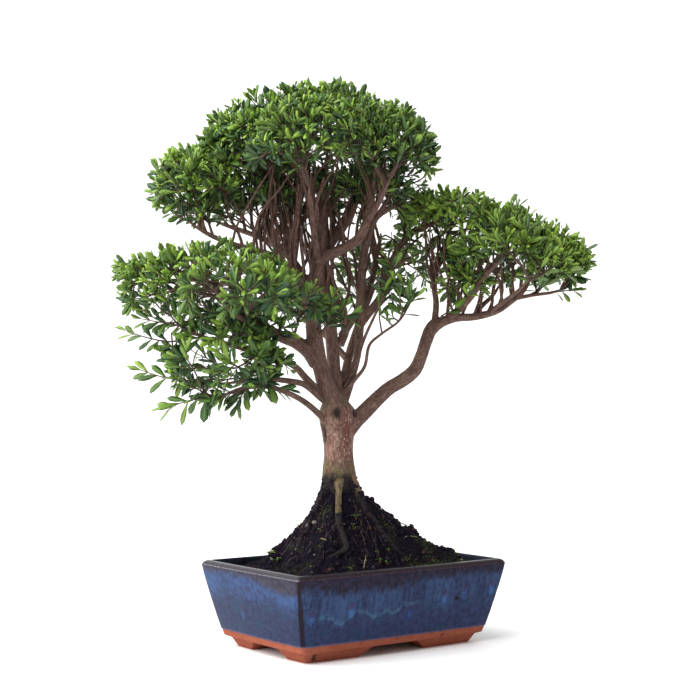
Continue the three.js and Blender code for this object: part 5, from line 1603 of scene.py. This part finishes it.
def add_branchlets(nodes, branchlets):
    """Adds the outer two thirds of each branchlet."""
    added = []
    for places, _ in branchlets:
        tangents = frames_along(places)[0]
        for index in range(len(places) // 3, len(places)):
            added.append(nodes.add(places[index], tangents[index], BRANCHLET_PATH + 8 * index))
    return added


def give(nodes, shoot, own):
    """Makes a shoot part of a stem, and gives the steps that later shoots can grow from."""
    shoot["piece"] = own
    for i in shoot["nodes"][1:]:
        nodes.piece[i] = own
    return shoot["nodes"][1:]


def grow_clump(nodes, index, carrying, on_branchlets):
    """A clump's shoots: those of the solids, one from each limb's tip, and then the others."""
    clump, centre, half, limbs, stems, cad_shoots, count, lowest, size, youth_and_painted_light = CLUMPS[index]
    draw = Draws(1000 + index * 77)
    on_limbs = [i for name in limbs for i in carrying[name]]
    tips = [carrying[name][-1] for name in limbs]
    on_shoots, bases, shoots = [], [], []
    for k in range(1, count * 6):
        made = len(shoots)
        if made == count:
            break
        outward = outward_draw(k, lowest)
        shell = 0.86 + 0.14 * (k * 0.6180339887498949 % 1)
        if made >= cad_shoots:
            shell = shell * EXTRA_SHELL + RAGGED * noise.noise(Vector(outward * 3.1 + [index, 0, 0]))
        target = np.array(centre) + np.array(half) * outward * shell
        if is_shaded(target, index) or made >= cad_shoots and place(target)[1] > BACK_LIMIT:
            continue
        extra = made - cad_shoots
        if extra < 0:
            sources = on_limbs if made < stems else on_shoots
        elif extra < len(tips):
            sources = [tips[extra]]
        elif clump in DOME + RIGHT_PAD:
            sources = on_limbs + on_shoots + on_branchlets
        else:
            sources = on_limbs + on_shoots
        shoot = grow_shoot(nodes, sources, place(target), place(outward / half), draw)
        rise = outward[2] / half[2] / length(outward / half)
        # The clump's youth and painted light brightens its leaves.
        shoot.update(rise=rise, leaf=size, bright=youth_and_painted_light)
        own = f"{clump}_stem_{made + 1}"
        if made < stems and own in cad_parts:
            bases.append((nodes.at[shoot["nodes"][1]], own))
        elif nodes.piece[shoot["root"]]:
            own = nodes.piece[shoot["root"]]
        else:
            own = min(bases, key=lambda base: length(base[0] - nodes.at[shoot["root"]]))[1]
        on_shoots += give(nodes, shoot, own)
        shoots.append(shoot)
    return shoots


def grow_spray(nodes, index, clump, centre, half, sources, every, underside_painted_shade, count, size):
    """Shoots of a loose spray: one in every so many is on its limbs, the others on those."""
    draw = Draws(9000 + index * 31)
    on_shoots, shoots = [], []
    for k in range(1, count + 1):
        outward = outward_draw(k, -0.8)
        target = np.array(centre) + np.array(half) * outward * (k * 0.618 % 1) ** 0.4
        carriers = sources if k % every == 1 else on_shoots
        shoot = grow_shoot(nodes, carriers, place(target), place(outward / half), draw)
        # Sprays take their clump's youth and painted light; the underside's leaves lose some of it as
        # painted shade.
        shoot.update(rise=0.2, leaf=size, bright=YOUTH_AND_PAINTED_LIGHT[clump] - underside_painted_shade)
        on_shoots += give(nodes, shoot, first_stem(clump))
        shoots.append(shoot)
    return shoots


def grow_shoots(branchlets):
    """Grows all shoots, step by step, from limbs, branchlets and earlier shoots."""
    nodes = Nodes()
    carrying = add_limbs(nodes)
    on_branchlets = add_branchlets(nodes, branchlets)
    shoots = []
    for index in range(len(CLUMPS)):
        shoots += grow_clump(nodes, index, carrying, on_branchlets)
    for index, (clump, centre, half, limbs, count, size) in enumerate(SPRAYS):
        on_limbs = [i for name in limbs for i in carrying[name]]
        shoots += grow_spray(nodes, index, clump, centre, half, on_limbs, 5, 0.0, count, size)
    for index, (clump, centre, half, count, size) in enumerate(UNDERSIDE, len(SPRAYS)):
        shoots += grow_spray(nodes, index, clump, centre, half, on_branchlets, 2, 0.2, count, size)
    return nodes, shoots


TOWARDS_LIGHT = place([-0.35, -0.75, 0.3])
# How far to each side of a leaf its twig's direction is measured
TWIG_REACH = 4


class Twig:
    """A twig's line, measured back from its tip."""

    def __init__(self, places):
        self.back = places[::-1]
        self.gaps = distances_along(self.back)
        self.length = self.gaps[-1]

    def at(self, distance):
        reach = max(0, distance)
        return np.array([np.interp(reach, self.gaps, self.back[:, axis]) for axis in range(3)])

    def stemward(self, distance):
        """The twig's direction towards its tip."""
        return unit(self.at(distance - TWIG_REACH) - self.at(distance + TWIG_REACH))


def wand_leaves(wand, draw):
    """The twig of a long loose shoot as (places, radii), and its widely spaced pairs of leaves."""
    _, size, pairs, youngest, points = wand
    places = place(smooth_steps(points, 4))
    radii = np.linspace(1.1, 0.5, len(places))
    twig = Twig(places)
    leaves = []
    spacing = min(9.0, twig.length / pairs)
    for pair in range(pairs):
        distance = spacing * (pair + draw(-0.15, 0.15)) if pair else 0.0
        at, stemward = twig.at(distance), twig.stemward(distance)
        side = unit(np.cross(stemward, [0, 0, 1.0]))
        lift = np.cross(side, stemward)
        for way in (-1, 1):
            roll = draw(-0.5, 0.5) + (1.2 if pair % 2 else 0.0)
            outward = way * (side * math.cos(roll) + lift * math.sin(roll))
            lean = min((0.35 + 0.16 * pair) * draw(0.8, 1.2), 1.2)
            droop = [0, 0, -0.12 * pair * draw(0.6, 1.4)]
            forward = unit(stemward * math.cos(lean) + outward * math.sin(lean) + droop)
            up = unit(lift * 0.5 + TOWARDS_LIGHT + [draw(-0.5, 0.5) for _ in range(3)])
            up = square_to(up, forward)
            long = size * min(1.0, 0.7 + 0.2 * pair) * draw(0.85, 1.15)
            stretch = [long * draw(0.3, 0.38), long, long * draw(0.2, 0.8)]
            age = youngest + 0.13 * pair + draw(-0.1, 0.1)
            leaves.append((at, forward, up, stretch, age, draw()))
    return (places, radii), leaves


def twig_radii(shoots):
    """Twig radii: each carries the tips above it."""
    parents = {}
    for shoot in shoots:
        for parent, child in zip(shoot["nodes"], shoot["nodes"][1:]):
            parents[child] = parent
    tips = {}
    for shoot in shoots:
        i = shoot["nodes"][-1]
        while i in parents:
            tips[i] = tips.get(i, 0) + 1
            i = parents[i]
    return {i: TWIG_TIP * count ** (1 / TWIG_EXPONENT) for i, count in tips.items()}


def place_leaves(places, shoot, draw):
    """Rows of (place, forward, up, stretch, age, tint) for the leaves of one shoot."""
    twig = Twig(places)
    leaves = []
    vigour = shoot["leaf"] * (0.85 + 0.3 * shoot["size"])
    spacing = shoot["leaf"] * (1 + LOOSE * max(0, shoot["leaf"] - 0.86))
    # Painted shade: shoots that face down get older, darker leaves. The clump's youth and painted light
    # makes them brighter, with a random spread.
    shade = 0.22 * (0.45 - shoot["rise"]) + draw(-0.2, 0.2) - shoot["bright"]
    for pair, (distance, size, spread, age, share) in enumerate(LEAF_PAIRS):
        if draw() > share:
            continue
        distance = min(distance * draw(0.85, 1.15) * spacing, twig.length * 0.9)
        at, stemward = twig.at(distance), twig.stemward(distance)
        normal = unit(np.cross(stemward, [0.3, 0.2, 1.0]))
        side = np.cross(stemward, normal)
        turn = 2 * math.pi * shoot["turn"] + pair * math.pi / 2 + draw(-0.3, 0.3)
        for half_turn in (0, math.pi):
            angle = turn + half_turn
            outward = normal * math.cos(angle) + side * math.sin(angle)
            lean = spread + draw(-0.28, 0.28)
            forward = unit(stemward * math.cos(lean) + outward * math.sin(lean)
                           + [draw(-0.12, 0.12), draw(-0.12, 0.12), draw(-0.1, 0.2)])
            up = stemward * math.sin(lean) - outward * math.cos(lean)
            up = unit(up + np.array([0, 0, 0.4]) + [draw(-0.4, 0.4) for _ in range(3)])
            up = square_to(up, forward)
            long = size * vigour * draw(0.78, 1.18)
            stretch = [long * draw(0.27, 0.36), long, long * draw(0.2, 1.0)]
            # Below LOW_LEAVES, lower tints make more leaves dark teal: painted shade.
            tint = draw() * (LOW_PAINTED_SHADE_TINT if at[2] < LOW_LEAVES else 1.0)
            leaves.append((at, forward, up, stretch, age + shade + draw(-0.1, 0.1), tint))
    return leaves


def make_leaf_shape():
    """A leaf 1 mm long along Y with its stalk: an oval blade folded along the midrib, closed
    underneath. Attributes tell a place's way along and across it, and its underside."""
    stations = [  # [along, half width, arch]
        [0.0, 0.045, 0.0], [0.28, 0.25, 0.03], [0.54, 0.47, 0.02], [0.82, 0.43, -0.02],
    ]
    points, along, across, under = [], [], [], []
    for reach, half, arch in stations:
        fold = half * 0.1
        thin = 0.02 if reach < 0.2 else 0.01
        ring = [(-half, arch + fold * 0.5), (0, arch), (half, arch + fold * 0.5), (0, arch - thin)]
        for index, (x, z) in enumerate(ring):
            points.append((x, reach, z))
            along.append(reach)
            across.append(x / 0.5)
            under.append(1.0 if index == 3 else 0.0)
    points.append((0, 1.0, -0.09))
    along.append(1.0)
    across.append(0.0)
    under.append(0.0)
    faces = []
    last = len(stations) - 1
    for ring in range(last):
        for side in range(4):
            low, high = ring * 4, ring * 4 + 4
            next_side = (side + 1) % 4
            faces.append([low + side, low + next_side, high + next_side, high + side])
    faces.append([0, 3, 2, 1])
    for side in range(4):
        faces.append([last * 4 + side, last * 4 + (side + 1) % 4, len(points) - 1])
    mesh = bpy.data.meshes.new("leaf_shape")
    mesh.from_pydata([(x * 0.001, y * 0.001, z * 0.001) for x, y, z in points], [], faces)
    face_outward(mesh)
    shape = bpy.data.objects.new("leaf_shape", mesh)
    mesh.shade_smooth()
    store(shape, "along", "FLOAT", along)
    store(shape, "across", "FLOAT", across)
    store(shape, "under", "FLOAT", under)
    return shape


def leafy_piece(name, chains, leaves, foliage, **settings):
    """One leafy piece: twigs along chains of (places, radii), and leaves on their points."""
    points, edges, thickness = join_chains(chains)
    at, forward, up, stretch, age, tint = (np.array(column) for column in zip(*leaves))
    piece = make_piece(name, np.vstack([points, at]), edges=edges)

    def on_leaves(values):
        blank = np.zeros((len(points),) + values.shape[1:])
        return np.concatenate([blank, values])

    store(piece, "thickness", "FLOAT", np.append(thickness, np.zeros(len(at))))
    flags = piece.data.attributes.new("is_leaf", "BOOLEAN", "POINT")
    flags.data.foreach_set("value", on_leaves(np.ones(len(at))).astype(bool))
    for label, kind, values in (("forward", "FLOAT_VECTOR", forward), ("up", "FLOAT_VECTOR", up),
                                ("stretch", "FLOAT_VECTOR", stretch), ("age", "FLOAT", age),
                                ("tint", "FLOAT", tint)):
        store(piece, label, kind, on_leaves(values))
    foliage.run(piece, **settings)
    for label in ("forward", "up", "stretch", "is_leaf"):
        if label in piece.data.attributes:
            piece.data.attributes.remove(piece.data.attributes[label])
    return piece


def make_stems(branchlets, foliage, leaf_shape, leaf, twig):
    nodes, shoots = grow_shoots(branchlets)
    radii = twig_radii(shoots)
    draw = Draws(4242)
    for name in sorted({shoot["piece"] for shoot in shoots}):
        own = [shoot for shoot in shoots if shoot["piece"] == name]
        chains, leaves = [], []
        for shoot in own:
            places = nodes.at[shoot["nodes"]]
            first = radii[shoot["nodes"][1]]
            thick = [radii.get(i, first) for i in shoot["nodes"]]
            thick[0] = min(thick[0], first * 1.15)
            chains.append((places, thick))
            leaves += place_leaves(places, shoot, draw)
        for wand in WANDS:
            if first_stem(wand[0]) == name:
                chain, wand_own = wand_leaves(wand, draw)
                chains.append(chain)
                leaves += wand_own
        piece = leafy_piece(name.replace("_stem", "_foliage"), chains, leaves, foliage, sides=5,
                            bark=twig, leaf_shape=leaf_shape, leaf=leaf)
        finish_piece(piece, "leaf", name)


# Scene


# How bright the room is on the camera's side and behind the tree
ROOM_LIGHT = 0.54
BACK_LIGHT = 1.35
CAMERA_PLACE = [-921, -1237, 268]
CAMERA_PITCH = math.radians(92.06)
CAMERA_LENS = 71.5
SOFTBOX_PLACE = [-1300, -600, 1600]
SOFTBOX_SIZE = 3.2
SOFTBOX_POWER = 130
TREE_MIDDLE = [0, 0, 300]
FLOOR_REACH = 1100


def make_camera():
    camera = bpy.data.objects.new("camera", bpy.data.cameras.new("camera"))
    bpy.context.scene.collection.objects.link(camera)
    camera.data.lens = CAMERA_LENS
    camera.data.sensor_width = 36
    camera.location = metres(CAMERA_PLACE)
    camera.rotation_euler = (CAMERA_PITCH, 0, -VIEW_TURN)
    bpy.context.scene.camera = camera


def make_softbox():
    """A square softbox high on the left, facing the tree."""
    light = bpy.data.lights.new("left softbox", "AREA")
    light.size = SOFTBOX_SIZE
    light.energy = SOFTBOX_POWER
    lamp = bpy.data.objects.new(light.name, light)
    bpy.context.scene.collection.objects.link(lamp)
    lamp.location = metres(place(SOFTBOX_PLACE))
    facing = Vector(metres(TREE_MIDDLE)) - lamp.location
    lamp.rotation_euler = facing.to_track_quat("-Z", "Y").to_euler()


def make_studio():
    """A white floor and backdrop, with the room in front of the tree dimmer than what is behind."""
    r = FLOOR_REACH
    floor = make_piece("floor", [(-r, -r, 0), (r, -r, 0), (r, r, 0), (-r, r, 0)], [[0, 1, 2, 3]])
    paint(floor, floor_look())
    world = bpy.data.worlds.new("studio")
    world.use_nodes = True
    tree = world.node_tree
    where = add_node(tree, "ShaderNodeTexCoord", {}, {}).outputs["Object"]
    away = (math.sin(VIEW_TURN), math.cos(VIEW_TURN), 0.0)
    depth = add_node(tree, "ShaderNodeVectorMath", {"operation": "DOT_PRODUCT"}, {0: where, 1: away})
    light = add_node(tree, "ShaderNodeMapRange", {}, {
        "Value": depth.outputs["Value"], "From Min": -0.5, "From Max": 0.6, "To Min": ROOM_LIGHT,
        "To Max": BACK_LIGHT,
    })
    background = tree.nodes["Background"]
    background.inputs["Color"].default_value = (1.0, 1.0, 1.0, 1)
    tree.links.new(light.outputs["Result"], background.inputs["Strength"])
    bpy.context.scene.world = world
    bpy.context.scene.view_settings.view_transform = "Standard"
    make_softbox()


def keep_screens(look):
    """The drain screens under the soil stay as they are, with their material made fine."""
    for side in ("left", "right"):
        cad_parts[f"drain_screen_{side}"].material_slots[0].material = look


bark = bark_look()
twig = twig_look()
leaf = leaf_look("Myrtle leaf", srgb(44, 72, 50), srgb(82, 115, 47), srgb(138, 172, 64))
bars = bars_tree()
foliage = foliage_tree()
scatter = scatter_tree()
make_studio()
make_camera()
make_pot(glaze_look())
keep_screens(screen_look())
crumbs, crumb_shape = crumb_look(), make_crumb_shape()
make_soil(soil_look(), crumbs, moss_look(), make_tuft_shape(), crumb_shape, scatter)
make_trunk(bark, crumbs, crumb_shape, scatter)
make_slim_limbs(bark, bars)
leaf_shape = make_leaf_shape()
branchlets = (grow_branchlets(BRANCHLETS, DOME, FAN_CENTRE, 611)
              + grow_branchlets(RIGHT_BRANCHLETS, RIGHT_PAD, RIGHT_FAN_CENTRE, 733))
finish_piece(bars_along("branchlets", branchlets, bars, sides=7, bark=branchlet_look()), "bark")
make_stems(branchlets, foliage, leaf_shape, leaf, twig)
make_seedlings(foliage, leaf_shape, leaf, twig)
straw = speckled_look("Straw", 0.8, 0.2, 1.5, 3.0, (96, 84, 62), (146, 136, 104))
pebble = speckled_look("Grit stones", 0.7, 0.3, 1.2, 4.0, (84, 76, 70), (140, 130, 120))
make_litter(root_look(), straw, pebble, bars)
